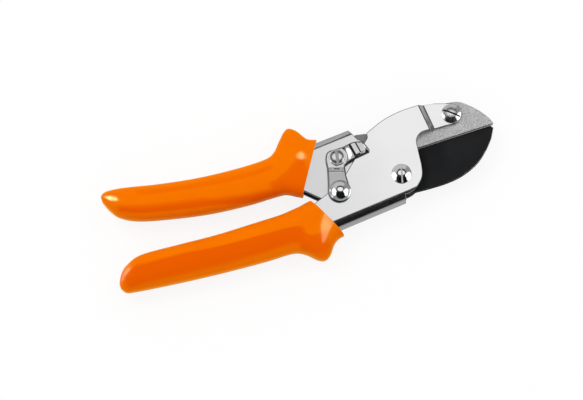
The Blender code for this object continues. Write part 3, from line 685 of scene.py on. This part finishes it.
def polished_sheet(name, level):
    """Roll-polished sheet with faint drawing lines, darkened toward the handles as painted shade."""
    recipe = Recipe(name)
    dull, dark, light = shades(colours().steel, 0.88 * level, 0.97 * level, 1.02 * level)
    lines = recipe.noise(scale=900.0, detail=2.0, vector=recipe.mapped((0.08, 1.0, 1.0)))
    cloud = recipe.noise(scale=35.0, roughness=0.55)
    bright = recipe.blend(recipe.drift(cloud), dark, light)
    # Painted shade: the colour darkens toward the handles
    forward = recipe.spread(recipe.toward(recipe.place, (1.0, 0.0, 0.0)), *SHEET_DULL_RUN)
    wave = recipe.bump(cloud, strength=0.15, distance=0.0004)
    recipe.set(Metallic=1.0, Base_Color=recipe.blend(forward, dull, bright),
               Roughness=recipe.drift(lines, 0.13, 0.20),
               Normal=recipe.bump(lines, strength=0.05, distance=0.00005, below=wave))
    return recipe.material


def lower_sheet():
    return polished_sheet("lower_sheet", 0.96)


# The upper frame's sheet is the same steel, painted darker as shade
def upper_sheet():
    return polished_sheet("upper_sheet", 0.86)


# Metals of one clouded colour: its dark and light, the roughness, then the noise's scale,
# detail and roughness, and the bump's strength and distance
CLOUDED_METALS = {
    # Sheared and tumbled edges, duller than the polished faces and painted darker as shade along the outlines
    "cut_edge": ((0.10, 0.10, 0.105), (0.20, 0.20, 0.205), (0.30, 0.42), (400.0, 3.0, 0.6)),
    # Bare steel where a finish has worn through, along an edge or in a slot
    "worn_edge": ((0.26, 0.26, 0.26), (0.48, 0.48, 0.48), (0.28, 0.40), (300.0, 3.0, 0.6)),
    # Narrow recesses, dull and painted dark as shade
    "slot_recess": ((0.03, 0.03, 0.03), (0.07, 0.07, 0.07), (0.40, 0.55), (500.0, 3.0, 0.6)),
    # Machined zinc-grey steel of nuts, washers, rivets, the spring and the pivot bolt's slot
    "plain_steel": ((0.50, 0.50, 0.51), (0.66, 0.66, 0.67), (0.26, 0.38), (220.0, 4.0, 0.6),
                    (0.2, 0.00008)),
}


def clouded_metal(name, dark, light, roughness, noise, bump=None):
    """A metal whose colour and roughness drift with a noise of scale, detail and roughness."""
    recipe = Recipe(name)
    cloud = recipe.noise(*noise)
    recipe.set(Metallic=1.0, Base_Color=recipe.blend(recipe.drift(cloud), dark, light),
               Roughness=recipe.drift(cloud, *roughness))
    if bump:
        recipe.set(Normal=recipe.bump(cloud, *bump))
    return recipe.material


def polished_turned():
    """Mirror-bright turned steel of the pivot bolt and the stud."""
    dark, light = shades(colours().steel, 0.92, 1.0)
    return clouded_metal("polished_turned", dark, light, roughness=(0.09, 0.15),
                         noise=(160.0, 3.0, 0.5), bump=(0.10, 0.0001))


def satin_turned():
    """Turned steel dulled by handling, for the anvil's and the latch's screws."""
    dark, light = shades(colours().steel, 0.81, 0.90)
    return clouded_metal("satin_turned", dark, light, roughness=(0.16, 0.22),
                         noise=(160.0, 3.0, 0.5), bump=(0.10, 0.0001))


def tumbled_latch():
    """Tumbled chrome of the latch, greyer than the polished turned parts, its arm painted darker as shade."""
    recipe = Recipe("tumbled_latch")
    # The arm's colour is painted shade, darker than the head's
    arm, dark, light = shades(colours().steel, 0.4992, 0.6708, 0.78)
    cloud = recipe.noise(scale=140.0)
    head = recipe.blend(recipe.drift(cloud), dark, light)
    up_arm = recipe.spread(recipe.toward(recipe.place, (ARM_SKEW, 1.0, 0.0)), *ARM_DARK_RUN)
    recipe.set(Metallic=1.0, Base_Color=recipe.blend(up_arm, arm, head),
               Roughness=recipe.drift(cloud, 0.13, 0.20),
               Normal=recipe.bump(cloud, strength=0.12, distance=0.0001))
    return recipe.material


def blasted_anvil():
    """Sandblasted steel with a fine even grain."""
    recipe = Recipe("blasted_anvil")
    pit, peak = shades(colours().anvil, 0.74, 1.30)
    grain = recipe.noise(scale=1500.0, roughness=0.75)
    cloud = recipe.noise(scale=120.0)
    speckle = recipe.blend(recipe.spread(grain, 0.38, 0.62), pit, peak)
    recipe.set(Metallic=1.0, Base_Color=speckle, Roughness=recipe.drift(cloud, 0.46, 0.56),
               Normal=recipe.bump(grain, strength=0.35, distance=0.00006))
    return recipe.material


def coated_blade():
    """Dark low-friction coating on the working end, bare ground steel on the tang."""
    recipe = Recipe("coated_blade")
    full, thin = shades(colours().blade, 1.0, 1.35)
    grain = recipe.noise(scale=1800.0, detail=2.0)
    cloud = recipe.noise(scale=60.0)
    coat = recipe.blend(recipe.spread(cloud, *COLOUR_RANGE), full, thin)
    bare = recipe.spread(recipe.toward(recipe.place, (-1.0, 0.0, 0.0)), *BARE_TANG_RUN)
    recipe.set(Specular_IOR_Level=0.0, Metallic=bare,
               Base_Color=recipe.blend(bare, coat, BARE_TANG),
               Roughness=recipe.drift(grain, 0.42, 0.54),
               Normal=recipe.bump(grain, strength=0.18, distance=0.00004))
    return recipe.material


def dipped_grip():
    """Soft plastic with a wet gloss, faint flow unevenness and painted shade, a deeper colour, in bands along it."""
    recipe = Recipe("dipped_grip")
    tint = colours().grip
    # Painted shade: a darker, redder orange for the shaded bands
    deep = (tint[0] * 0.89, tint[1] * 0.58, tint[2])
    uneven = (tint[0] * 0.97, tint[1] * 0.90, tint[2])
    cloud = recipe.noise(scale=30.0)
    hollow = recipe.add("Attribute", {}, attribute_name="hollow").outputs["Fac"]
    even = recipe.blend(recipe.spread(cloud, *COLOUR_RANGE), uneven, tint)
    recipe.set(IOR=1.06, Specular_Tint=(1.0, 1.0, 0.38), Sheen_Weight=1.0,
               Sheen_Roughness=0.35, Sheen_Tint=(1.0, 0.55, 0.03),
               Base_Color=recipe.blend(hollow, even, deep),
               Roughness=recipe.drift(cloud, 0.03, 0.05),
               Normal=recipe.bump(cloud, strength=0.05, distance=0.0004))
    return recipe.material


def material(name):
    """The named finish, made once."""
    made = bpy.data.materials.get(FINISH_PREFIX + name)
    if made is None and name in CLOUDED_METALS:
        made = clouded_metal(name, *CLOUDED_METALS[name])
    return made or globals()[name]()


# Grips

def grip_ring(low, high, half, ridge):
    """A rounded section, side face split finely, that thins below its ridge."""
    middle = (low + high) / 2
    reach = (high - low) / 2
    corner = min(GRIP_CORNER, GRIP_CORNER_SHARE * reach, GRIP_CORNER_SHARE * half)
    run = []
    for side_y, side_z, start in ((1, 1, 0), (-1, 1, 90), (-1, -1, 180), (1, -1, 270)):
        centre = (side_y * (reach - corner), side_z * (half - corner))
        run.append(arc(centre, corner, start, start + 90, GRIP_CORNER_STEPS))
    points = []
    for i, bend in enumerate(run):
        points += bend[:-1]
        here, there = Vector(bend[-1]), Vector(run[(i + 1) % 4][0])
        steps = GRIP_TOP_STEPS if i % 2 else GRIP_SIDE_STEPS
        points += [tuple(here.lerp(there, j / steps)) for j in range(steps)]
    ring = []
    for y, z in points:
        below = ridge - y / reach
        fall = (below + math.sqrt(below ** 2 + RIDGE_SOFTNESS ** 2)) / 2
        ring.append((middle + y, z * (1 - GRIP_RIDGE_FALL * fall)))
    return ring


def grip_shape(stations, front, ridge, tang, tang_half):
    shape = bmesh.new()
    run = smooth_run(stations, GRIP_SPAN_STEPS)
    tip = run[0][0]
    rings = []
    for x, low, high in run:
        share = min((x - tip) / TIP_LENGTH, 1.0)
        rounding = math.sqrt(max(1.0 - (1.0 - share) ** 2, 0.0))
        half = between(TIP_HALF, GRIP_HALF, rounding)
        rings.append([shape.verts.new((x, y, MIDDLE + z))
                      for y, z in grip_ring(low, high, half, ridge)])
    for near, away in zip(rings, rings[1:]):
        for i in range(len(near)):
            j = (i + 1) % len(near)
            shape.faces.new((near[i], near[j], away[j], away[i]))
    shape.faces.new(rings[0])
    shape.faces.new(rings[-1])
    bmesh.ops.recalc_face_normals(shape, faces=shape.faces)
    line = Vector(front[1]) - Vector(front[0])
    normal = Vector((-line.y, line.x, 0.0))
    if normal.x < 0:
        normal.negate()
    slice_shape(shape, (*front[0], MIDDLE), normal, drop=True)
    rim = [edge for edge in shape.edges if edge.is_boundary]
    bmesh.ops.contextual_create(shape, geom=rim)
    half = tang_half + GAP
    return cut(shape, prism(tang, MIDDLE - half, MIDDLE + half))


def hollow_depth(hollow, x, across):
    """How strong one band of painted shade is at a place on the grip."""
    (rear, low_rear, high_rear), (front, low_front, high_front), soft_low, soft_high, depth = hollow
    share = clamped((x - rear) / (front - rear))
    low = between(low_rear, low_front, share)
    high = between(high_rear, high_front, share)
    ends = smooth_step((x - rear) / HOLLOW_END + 1) * smooth_step((front - x) / HOLLOW_END + 1)
    rims = smooth_step((across - low) / soft_low + 1) * smooth_step((high - across) / soft_high + 1)
    return depth * ends * rims


# Paint shade into a grip's colour as a point attribute, band by band
def paint_hollows(piece, stations, hollows):
    run = smooth_run(stations, GRIP_SPAN_STEPS)
    tone = piece.data.attributes.new("hollow", "FLOAT", "POINT")
    for vert, item in zip(piece.data.vertices, tone.data):
        x, y = vert.co.x, vert.co.y
        low, high = min(run, key=lambda spot: abs(spot[0] - x))[1:]
        across = (2 * y - low - high) / (high - low)
        item.value = max(hollow_depth(hollow, x, across) for hollow in hollows)


class SHEARS_OT_grips(bpy.types.Operator):
    """Dip the two handles in soft plastic"""
    bl_idname = "shears.grips"
    bl_label = "Grips"

    def execute(self, context):
        for body, stations, front, ridge, tang, half, hollows in (
                ("lower", LOWER_GRIP, LOWER_GRIP_FRONT, LOWER_RIDGE, LOWER_TANG, LOWER_HALF,
                 LOWER_HOLLOWS),
                ("upper", UPPER_GRIP, UPPER_GRIP_FRONT, UPPER_RIDGE, UPPER_TANG, UPPER_HALF,
                 UPPER_HOLLOWS)):
            node = body + "_grip"
            shape = grip_shape(stations, front, ridge, tang, half)
            piece = add_piece("dipped_" + node, shape, ["dipped_grip"], body, "orange_grip",
                              [node], edge=GRIP_EDGE, smooth_angle=SOFT_SMOOTH_ANGLE,
                              segments=GRIP_EDGE_STEPS)
            paint_hollows(piece, stations, hollows)
            piece.visible_glossy = False
        return {"FINISHED"}


# Frames, blade and anvil

def bend_half(inward, half, reach, depth, onset=0.0):
    """Half the channel's width at a distance in from its spine; onset is how crisply it bends."""
    share = between(onset, 1, clamped(1 - inward / reach))
    return half - depth * (math.sqrt(1 - onset * onset) - math.sqrt(1 - share * share))


def sweep_spine(shape, line, sweep, half):
    """Widen the bends along a channel's spine into long drawn curves."""
    start, end = (Vector(point) for point in line)
    along = (end - start).normalized()
    inner = Vector((-along.y, along.x))
    reach, depth, onset = sweep
    for i in range(1, SWEEP_STEPS + 1):
        spot = start + inner * reach * (1 - math.cos(math.pi / 2 * i / SWEEP_STEPS))
        slice_shape(shape, (*spot, 0), (*inner, 0))
    for vert in shape.verts:
        inward = (vert.co.xy - start).dot(inner)
        if inward < reach:
            before = bend_half(inward, half, PRESSED_BEND, PRESSED_BEND)
            after = bend_half(inward, half, reach, depth, onset)
            vert.co.z = MIDDLE + (vert.co.z - MIDDLE) * min(after / before, 1.0)
    swept = [face for face in shape.faces if len(face.verts) > 4
             and all((vert.co.xy - start).dot(inner) < reach + GAP for vert in face.verts)]
    bmesh.ops.triangulate(shape, faces=swept)


class SHEARS_OT_frames(bpy.types.Operator):
    """Press the two nested channels"""
    bl_idname = "shears.frames"
    bl_label = "Frames"

    def execute(self, context):
        for node, body, line, sweep, half in (
                ("lower_frame", "lower", LOWER_SPINE, LOWER_SWEEP, LOWER_HALF),
                ("upper_frame", "upper", UPPER_SPINE, UPPER_SWEEP, UPPER_HALF)):
            shape = copied_node(node)
            sweep_spine(shape, line, sweep, half)
            # Their rounded edges take the cut edge finish, darkened as painted shade along the outlines
            add_piece("pressed_" + node, shape, [body + "_sheet", "cut_edge"], body,
                      "polished_steel", [node], edge=sizes().edge, own_edge=True)
        return {"FINISHED"}


class SHEARS_OT_cutting(bpy.types.Operator):
    """Fit the blade and the anvil"""
    bl_idname = "shears.cutting"
    bl_label = "Blade and anvil"

    def execute(self, context):
        add_piece("ground_blade", copied_node("blade"), ["coated_blade", "worn_edge"], "upper",
                  "coated_blade", ["blade"], edge=sizes().blade_edge, own_edge=True)
        # The anvil's rounded edges take the cut edge finish, darkened as painted shade
        add_piece("blasted_anvil_bar", copied_node("anvil"), ["blasted_anvil", "cut_edge"],
                  "lower", "blasted_anvil", ["anvil"], edge=sizes().fastener_edge, own_edge=True)
        return {"FINISHED"}


# Fasteners

def domed(head, base, crown, ripples):
    """A spherical cap on a short upright rim; turned ripples start at a radius."""
    rim = base + HEAD_RIM
    rise = crown - rim
    curve = (head ** 2 + rise ** 2) / (2 * rise)
    end = math.asin(min(head / curve, 1.0))
    points = [(head - HEAD_CHAMFER, base), (head, base + HEAD_CHAMFER)]
    for i in range(DOME_STEPS):
        angle = end * (1 - i / DOME_STEPS)
        radius = curve * math.sin(angle)
        wave = 0.0
        if ripples and radius > ripples[0]:
            wave = RIPPLE_HEIGHT * math.sin(FULL_TURN * radius / ripples[1])
        points.append((radius, crown - curve * (1 - math.cos(angle)) + wave))
    points.append((0.0, crown))
    return points


def slotted_screw(name, node, body, form, base, finishes, ripples=None):
    shank, slot_depth, half, degrees, dome = form
    low, high = node_corners(node)
    centre = node_centre(node)
    head = (high.x - low.x) / 2
    profile = [(0.0, low.z), (shank, low.z), (shank, base)]
    if dome < 1:
        collar = base + COLLAR_HEIGHT
        profile += [(head - COLLAR_CHAMFER, base), (head, base + COLLAR_CHAMFER),
                    (head, collar - HEAD_CHAMFER), (head - HEAD_CHAMFER, collar),
                    (head * dome + HEAD_CHAMFER, collar)]
        base = collar - HEAD_CHAMFER
    profile += domed(head * dome, base, high.z, ripples)
    shape = lathe(profile, centre)
    reach = 2 * head
    angle = math.radians(degrees)
    corners = [(-reach, -half), (reach, -half), (reach, half), (-reach, half)]
    bar = [shifted(turned(corner, angle), centre.x, centre.y) for corner in corners]
    floor = high.z - slot_depth
    shape = cut(shape, prism(bar, floor, high.z + GAP))
    along = Vector((math.cos(angle), math.sin(angle), 0.0))
    for face in shape.faces:
        face.material_index = int(all(
            vert.co.z > floor - SLOT_FLOOR_MARGIN
            and abs(along.cross(vert.co - centre).z) < half + SLOT_SIDE_MARGIN
            for vert in face.verts))
    add_piece(name, shape, finishes, body, "bright_fasteners", [node],
              edge=sizes().fastener_edge, smooth_angle=HEAD_SMOOTH_ANGLE)


class SHEARS_OT_screws(bpy.types.Operator):
    """Turn the three slotted screws and the stud"""
    bl_idname = "shears.screws"
    bl_label = "Screws and stud"

    def execute(self, context):
        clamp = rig.box("anvil_nut")[1][2]
        slotted_screw("turned_pivot_bolt", "pivot_bolt", "lower", PIVOT_HEAD,
                      MIDDLE + LOWER_HALF + GAP, ("polished_turned", "plain_steel"))
        # The anvil screw's slot is painted dark as shade
        slotted_screw("turned_anvil_screw", "anvil_screw", "lower", ANVIL_HEAD,
                      2 * MIDDLE - clamp, ("satin_turned", "slot_recess"), ANVIL_RIPPLES)
        latch_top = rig.box("latch_washer")[1][2] + GAP + LATCH_SHEET
        slotted_screw("turned_latch_screw", "latch_screw", "upper", LATCH_HEAD,
                      latch_top + GAP, ("satin_turned", "worn_edge"))
        low, high = node_corners("lock_stud")
        base = high.z - STUD_HEAD
        profile = [(0.0, low.z), (STUD_NECK, low.z), (STUD_NECK, base)]
        profile += domed((high.x - low.x) / 2, base, high.z, STUD_RIPPLES)
        add_piece("polished_lock_stud", lathe(profile, STUD), ["polished_turned"], "lower",
                  "bright_fasteners", ["lock_stud"])
        return {"FINISHED"}


class SHEARS_OT_hardware(bpy.types.Operator):
    """Finish the nuts, washers, rivets, bush and spring seats"""
    bl_idname = "shears.hardware"
    bl_label = "Nuts, washers and rivets"

    def execute(self, context):
        lower = ("anvil_nut", "pivot_nut", "pivot_washer_front", "pivot_washer_back",
                 "spring_seat_lower")
        upper = ("pivot_bush", "blade_rivet_upper", "blade_rivet_lower", "latch_nut",
                 "latch_washer", "spring_seat_upper")
        for body, names in (("lower", lower), ("upper", upper)):
            for node in names:
                thickness = min(node_span(node, axis) for axis in range(3))
                edge = min(sizes().fastener_edge, thickness / EDGES_PER_THICKNESS)
                add_piece("plain_" + node, copied_node(node), ["plain_steel"], body,
                          "plain_steel", [node], edge=edge)
        return {"FINISHED"}


# Latch

def tab_place(x, y):
    """A place's distance from the latch screw, measured across the tab's skewed lines."""
    return x - LATCH_SCREW.x + TAB_SKEW * (y - LATCH_SCREW.y)


def sloped_height(slopes, distance):
    """The height at a distance up a run that is given by its slopes."""
    height = 0.0
    for (start, slope), (end, next_slope) in zip(slopes, slopes[1:]):
        run = min(max(distance - start, 0.0), end - start)
        height += run * (slope + (next_slope - slope) * run / (end - start) / 2)
    return height


def latch_height(x, y, lift):
    """How far the formed sheet stands above its flat head at a point."""
    arm = sloped_height(RISE_SLOPES, ARM_RISE_FOOT - y - ARM_SKEW * (x - ARM_RISE_MIDDLE))
    tab = smooth_step((x - TAB_REAR) / TAB_BLEND)
    ramp = sloped_height(RAMP_SLOPES, math.hypot(x - LATCH_SCREW.x, y - LATCH_SCREW.y))
    fall = 0.0
    place = tab_place(x, y)
    step = smooth_step((place - PAD_STEP[0]) / (PAD_STEP[1] - PAD_STEP[0]))
    for (start, high), (end, low) in zip(TAB_FALLS, TAB_FALLS[1:]):
        if start < place:
            fall = between(high, low, smooth_step((place - start) / (end - start)))
    inward = min(distance_to_run(x, y, TAB_LOWER_RUN) / FLANGE_REACH, 1.0)
    fall += FLANGE_DROP * (1 - math.sqrt(max(1 - (1 - inward) ** 2, 0.0)))
    top = between(ramp, lift["tab"], step)
    raised = max(top - fall, min(lift["floor"], top))
    return max(arm, tab * raised)


def distance_to_run(x, y, run):
    spot = Vector((x, y))
    best = math.inf
    for start, end in zip(run, run[1:]):
        start, end = Vector(start), Vector(end)
        side = end - start
        share = clamped((spot - start).dot(side) / side.length_squared)
        best = min(best, (spot - start - side * share).length)
    return best


class SHEARS_OT_latch(bpy.types.Operator):
    """Form the thumb latch with its hook"""
    bl_idname = "shears.latch"
    bl_label = "Latch"

    def execute(self, context):
        low, high = node_corners("lock_lever")
        lift = {"floor": MIDDLE + LOWER_HALF + GAP - low.z,
                "tab": high.z - low.z - LATCH_SHEET}
        hook = arc(LATCH_HOOK, LATCH_HOOK_RADIUS, *LATCH_HOOK_SWEEP)
        outline = ([LATCH_RIGHT] + hook
                   + smooth_run(LATCH_LEFT + LATCH_HEAD_TOP, LATCH_RUN_STEPS)
                   + smooth_run(TAB_TOP, TAB_RUN_STEPS) + list(reversed(TAB_LOWER_RUN)))
        shape = prism(outline, low.z, low.z + LATCH_SHEET)
        rim = [edge for edge in shape.edges
               if all(vert.co.z > low.z + LATCH_SHEET / 2 for vert in edge.verts)]
        bmesh.ops.bevel(shape, geom=rim, offset=LATCH_ROUND, segments=LATCH_ROUND_STEPS,
                        profile=0.5, affect="EDGES", material=-1)
        half = STUD_NECK + GAP
        for opening in (curved_slot((0.0, 0.0), STUD.xy, OPEN_ANGLE, half),
                        curved_slot(LATCH_SCREW.xy, STUD.xy, -LATCH_TURN, half),
                        circle(LATCH_SCREW.xy, LATCH_HOLE)):
            shape = cut(shape, prism(opening, 0.0, PRISM_REACH))
        for i in range(round(RISE_SLOPES[-1][0] / LATCH_CELL * 2) + 1):
            height = ARM_RISE_FOOT - LATCH_CELL * i / 2
            slice_shape(shape, (ARM_RISE_MIDDLE, height, 0), (ARM_SKEW, 1, 0))
        for i in range(round((high.x - TAB_REAR) / LATCH_CELL)):
            slice_shape(shape, (TAB_REAR + LATCH_CELL * i, LATCH_SCREW.y, 0), (1, TAB_SKEW, 0))
        for i in range(1, round((high.y - ARM_RISE_FOOT) / LATCH_CELL)):
            slice_shape(shape, (0, ARM_RISE_FOOT + LATCH_CELL * i, 0), (0, 1, 0))
        bmesh.ops.triangulate(shape, faces=[f for f in shape.faces if len(f.verts) > 4])
        for vert in shape.verts:
            vert.co.z += latch_height(vert.co.x, vert.co.y, lift)
        rim = outline + outline[:1]
        # Faces along the outline's rounding take the cut edge finish, darkened as painted shade, and faces on the
        # tab's groove and pad line take the recess finish, painted dark as shade
        for face in shape.faces:
            centre = face.calc_center_median()
            place = tab_place(centre.x, centre.y)
            lines = any(start < place < end for start, end in (TAB_GROOVE, TAB_PAD_LINE))
            near = distance_to_run(centre.x, centre.y, rim) < LATCH_ROUND
            face.material_index = 2 if lines else int(near)
        add_piece("formed_lock_lever", shape, ["tumbled_latch", "cut_edge", "slot_recess"],
                  "latch", "bright_fasteners", ["lock_lever"], smooth_angle=SOFT_SMOOTH_ANGLE)
        return {"FINISHED"}


# Return spring

class SHEARS_OT_spring(bpy.types.Operator):
    """Wind the return spring between the two spines"""
    bl_idname = "shears.spring"
    bl_label = "Return spring"

    def execute(self, context):
        low, high = node_corners("return_spring")
        wire = sizes().spring_wire
        centre = (low + high) / 2
        radius = (high.x - low.x) / 2 - wire / 2
        start, end = low.y + wire, high.y - wire
        curve = bpy.data.curves.new("wound_spring", "CURVE")
        curve.dimensions = "3D"
        curve.bevel_depth = wire / 2
        curve.bevel_resolution = 4
        curve.use_fill_caps = True
        spline = curve.splines.new("POLY")
        count = SPRING_TURNS * SPRING_POINTS + 1
        spline.points.add(count - 1)
        for i in range(count):
            angle = FULL_TURN * i / SPRING_POINTS
            along = start + (end - start) * i / (count - 1)
            spline.points[i].co = (centre.x + radius * math.cos(angle), along,
                                   MIDDLE + radius * math.sin(angle), 1.0)
        guide = set_out("wound_spring", curve)
        view = bpy.context.evaluated_depsgraph_get()
        mesh = bpy.data.meshes.new_from_object(guide.evaluated_get(view))
        bpy.data.objects.remove(guide, do_unlink=True)
        mesh.shade_smooth()
        mesh.materials.append(material("plain_steel"))
        piece = set_out("wound_return_spring", mesh)
        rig.blend(piece, "lower", "upper", start=(centre.x, start, MIDDLE),
                 end=(centre.x, end, MIDDLE))
        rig.slot(piece, "plain_steel")
        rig.replaces(piece, "return_spring")
        return {"FINISHED"}


# Stage

def look_axes():
    """The photograph's right, up and backward directions in the object's frame."""
    right = Vector((math.cos(TURN_IN_PLANE), -math.sin(TURN_IN_PLANE), 0.0))
    flat = Vector((math.sin(TURN_IN_PLANE), math.cos(TURN_IN_PLANE), 0.0))
    up = flat * math.cos(TILT) + Vector((0, 0, math.sin(TILT)))
    return right, up, right.cross(up)


def turned_to(right, up, back, place):
    """The placement of a camera or lamp, from its own axes and its place."""
    return Matrix.Translation(place) @ Matrix((right, up, back)).transposed().to_4x4()


def add_camera():
    right, up, back = look_axes()
    across = (PHOTO_WIDTH / 2 - PIVOT_PIXEL[0]) * METRES_PER_PIXEL
    rise = (PIVOT_PIXEL[1] - PHOTO_HEIGHT / 2) * METRES_PER_PIXEL
    target = Vector((0, 0, MIDDLE)) + right * across + up * rise
    lens = bpy.data.cameras.new("camera")
    lens.sensor_width = SENSOR_MM
    lens.lens = SENSOR_MM * CAMERA_DISTANCE / (PHOTO_WIDTH * METRES_PER_PIXEL)
    lens.clip_start, lens.clip_end = CAMERA_CLIP
    camera = set_out("camera", lens)
    camera.matrix_world = turned_to(right, up, back, target + back * CAMERA_DISTANCE)
    bpy.context.scene.camera = camera


def floor_finish():
    """Pale floor that the camera sees nearly white, with the object's shadow kept."""
    paint = bpy.data.materials.new("studio_floor")
    tree = Tree(paint)
    tree.nodes.clear()
    matt = tree.add("BsdfDiffuse", {"Color": colours().floor})
    glow = tree.add("Emission", {"Color": WHITE})
    mirrored = tree.add("Emission", {"Strength": FLOOR_MIRRORED})
    seen = tree.add("LightPath", {}).outputs
    share = tree.add("Math", {0: seen["Is Camera Ray"], 1: FLOOR_GLOW},
                     operation="MULTIPLY")
    shown = tree.mix_shader(share.outputs["Value"], matt, glow)
    result = tree.mix_shader(seen["Is Glossy Ray"], shown, mirrored)
    tree.add("OutputMaterial", {"Surface": result.outputs["Shader"]})
    return paint


def add_floor(name, paint, size):
    shape = bmesh.new()
    bmesh.ops.create_grid(shape, x_segments=1, y_segments=1, size=size / 2)
    shape.transform(Matrix.Translation((0.0, 0.0, -GAP)))
    mesh = turned_to_mesh(shape, name)
    mesh.materials.append(paint)
    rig.stage(set_out(name, mesh))


def direction_at(azimuth, elevation):
    """The unit direction at an azimuth from +X and an elevation, both in degrees."""
    x, y = turned((math.cos(math.radians(elevation)), 0.0), math.radians(azimuth))
    return (x, y, math.sin(math.radians(elevation)))


def facing_level(tree, direction, low, high, out_low=0.0, out_high=1.0):
    """A level that changes as a ray's direction nears the given one."""
    ray = tree.add("TexCoord", {}).outputs["Generated"]
    return tree.spread(tree.toward(ray, direction), low, high, out_low, out_high, "SMOOTHSTEP")


def room_pattern(tree):
    """What the polished metal mirrors: grey walls with dark and bright patches."""
    level = WALL_LEVEL
    for azimuth, elevation, half, softness, light in ROOM_PATCHES:
        rim, core = (math.cos(math.radians(angle)) for angle in (half + softness, half))
        share = facing_level(tree, direction_at(azimuth, elevation), rim, core)
        mix = tree.add("Mix", {"Factor": share, "A": level, "B": light})
        level = mix.outputs["Result"]
    return level


def add_world():
    """An even pale room for matt surfaces, and a patterned one in the mirrors."""
    world = bpy.data.worlds.new("studio")
    bpy.context.scene.world = world
    tree = Tree(world)
    tree.nodes.clear()
    even = facing_level(tree, MATT_SIDE, *MATT_RUN, *MATT_LEVELS)
    matt, mirrored, white = (tree.add("Background", {"Color": level})
                             for level in (even, room_pattern(tree), WHITE))
    seen = tree.add("LightPath", {}).outputs
    shown = tree.mix_shader(seen["Is Glossy Ray"], matt, mirrored)
    result = tree.mix_shader(seen["Is Camera Ray"], shown, white)
    tree.add("OutputWorld", {"Surface": result.outputs["Shader"]})


def area_lamp(name, shape, size, power):
    data = bpy.data.lights.new(name, "AREA")
    data.shape = shape
    data.size, data.size_y = size
    data.energy = power
    return set_out(name, data)


def add_lamp(name, place, size, power):
    lamp = area_lamp(name, "RECTANGLE", size, power)
    lamp.location = place
    aim = Vector(LAMP_TARGET) - Vector(place)
    lamp.rotation_euler = aim.to_track_quat("-Z", "Y").to_euler()
    lamp.visible_glossy = False


def add_glint(name, spot, size, degrees, light):
    """A small lamp whose mirror image lies at a spot on a piece."""
    piece = bpy.data.objects[name]
    receivers = bpy.data.collections.new("glint_receiver")
    receivers.objects.link(piece)
    back = look_axes()[2]
    normal = Vector()
    for around in ((GLINT_SPREAD, 0), (-GLINT_SPREAD, 0), (0, GLINT_SPREAD), (0, -GLINT_SPREAD)):
        start = (*shifted(spot, *around), GLINT_START)
        found, place, face_normal = piece.ray_cast(start, (0.0, 0.0, -1.0))[:3]
        if not found:
            raise RuntimeError("a highlight misses its piece")
        normal += face_normal
    normal.normalize()
    away = (2 * normal.dot(back) * normal - back).normalized()
    along = Vector((*turned((1.0, 0.0), math.radians(degrees)), 0.0))
    along = (along - away * along.dot(away)).normalized()
    ellipse = math.pi / 4 * size[0] * size[1]
    lamp = area_lamp("glint", "ELLIPSE", size, light * math.pi * ellipse)
    lamp.matrix_world = turned_to(along, away.cross(along), away, place + away * GLINT_DISTANCE)
    lamp.visible_camera = False
    lamp.visible_diffuse = False
    lamp.light_linking.receiver_collection = receivers


class SHEARS_OT_glints(bpy.types.Operator):
    """Set the small lamps that shine on the grips' humps and tips"""
    bl_idname = "shears.glints"
    bl_label = "Grip highlights"

    def execute(self, context):
        for name, x, y, length, width, degrees, light in GLINTS:
            add_glint(name, (x, y), (length, width), degrees, light)
        return {"FINISHED"}


class SHEARS_OT_stage(bpy.types.Operator):
    """Set up the floor, the room, the lamps and the camera"""
    bl_idname = "shears.stage"
    bl_label = "Stage"

    def execute(self, context):
        bpy.context.scene.view_settings.view_transform = "Standard"
        add_floor("floor", floor_finish(), FLOOR_SIZE)
        for name, lamp in LAMPS.items():
            add_lamp(name, *lamp)
        add_world()
        add_camera()
        return {"FINISHED"}


# Sidebar panel

OPERATORS = (SHEARS_OT_stage, SHEARS_OT_grips, SHEARS_OT_glints, SHEARS_OT_frames,
             SHEARS_OT_cutting, SHEARS_OT_screws, SHEARS_OT_hardware, SHEARS_OT_latch,
             SHEARS_OT_spring)


class SHEARS_PT_panel(bpy.types.Panel):
    bl_label = "Pruning shears"
    bl_idname = "SHEARS_PT_panel"
    bl_space_type = "VIEW_3D"
    bl_region_type = "UI"
    bl_category = "Shears"

    def draw(self, context):
        for group in (colours(), sizes()):
            for key in group.__annotations__:
                self.layout.prop(group, key)
        for item in OPERATORS:
            self.layout.operator(item.bl_idname)


CLASSES = (ShearsColours, ShearsSizes) + OPERATORS + (SHEARS_PT_panel,)


def register():
    for item in CLASSES:
        bpy.utils.register_class(item)
    bpy.types.Scene.shears_colours = bpy.props.PointerProperty(type=ShearsColours)
    bpy.types.Scene.shears_sizes = bpy.props.PointerProperty(type=ShearsSizes)


def unregister():
    del bpy.types.Scene.shears_sizes
    del bpy.types.Scene.shears_colours
    for item in reversed(CLASSES):
        bpy.utils.unregister_class(item)


def main():
    register()
    for item in OPERATORS:
        group, name = item.bl_idname.split(".")
        getattr(getattr(bpy.ops, group), name)()
    corners = {"cad": [list(corner) for corner in CAD_BOX],
               "visual": [list(corner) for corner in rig.bounds()]}
    with open("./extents.json", "w") as report:
        json.dump(corners, report)


if __name__ == "__main__":
    main()
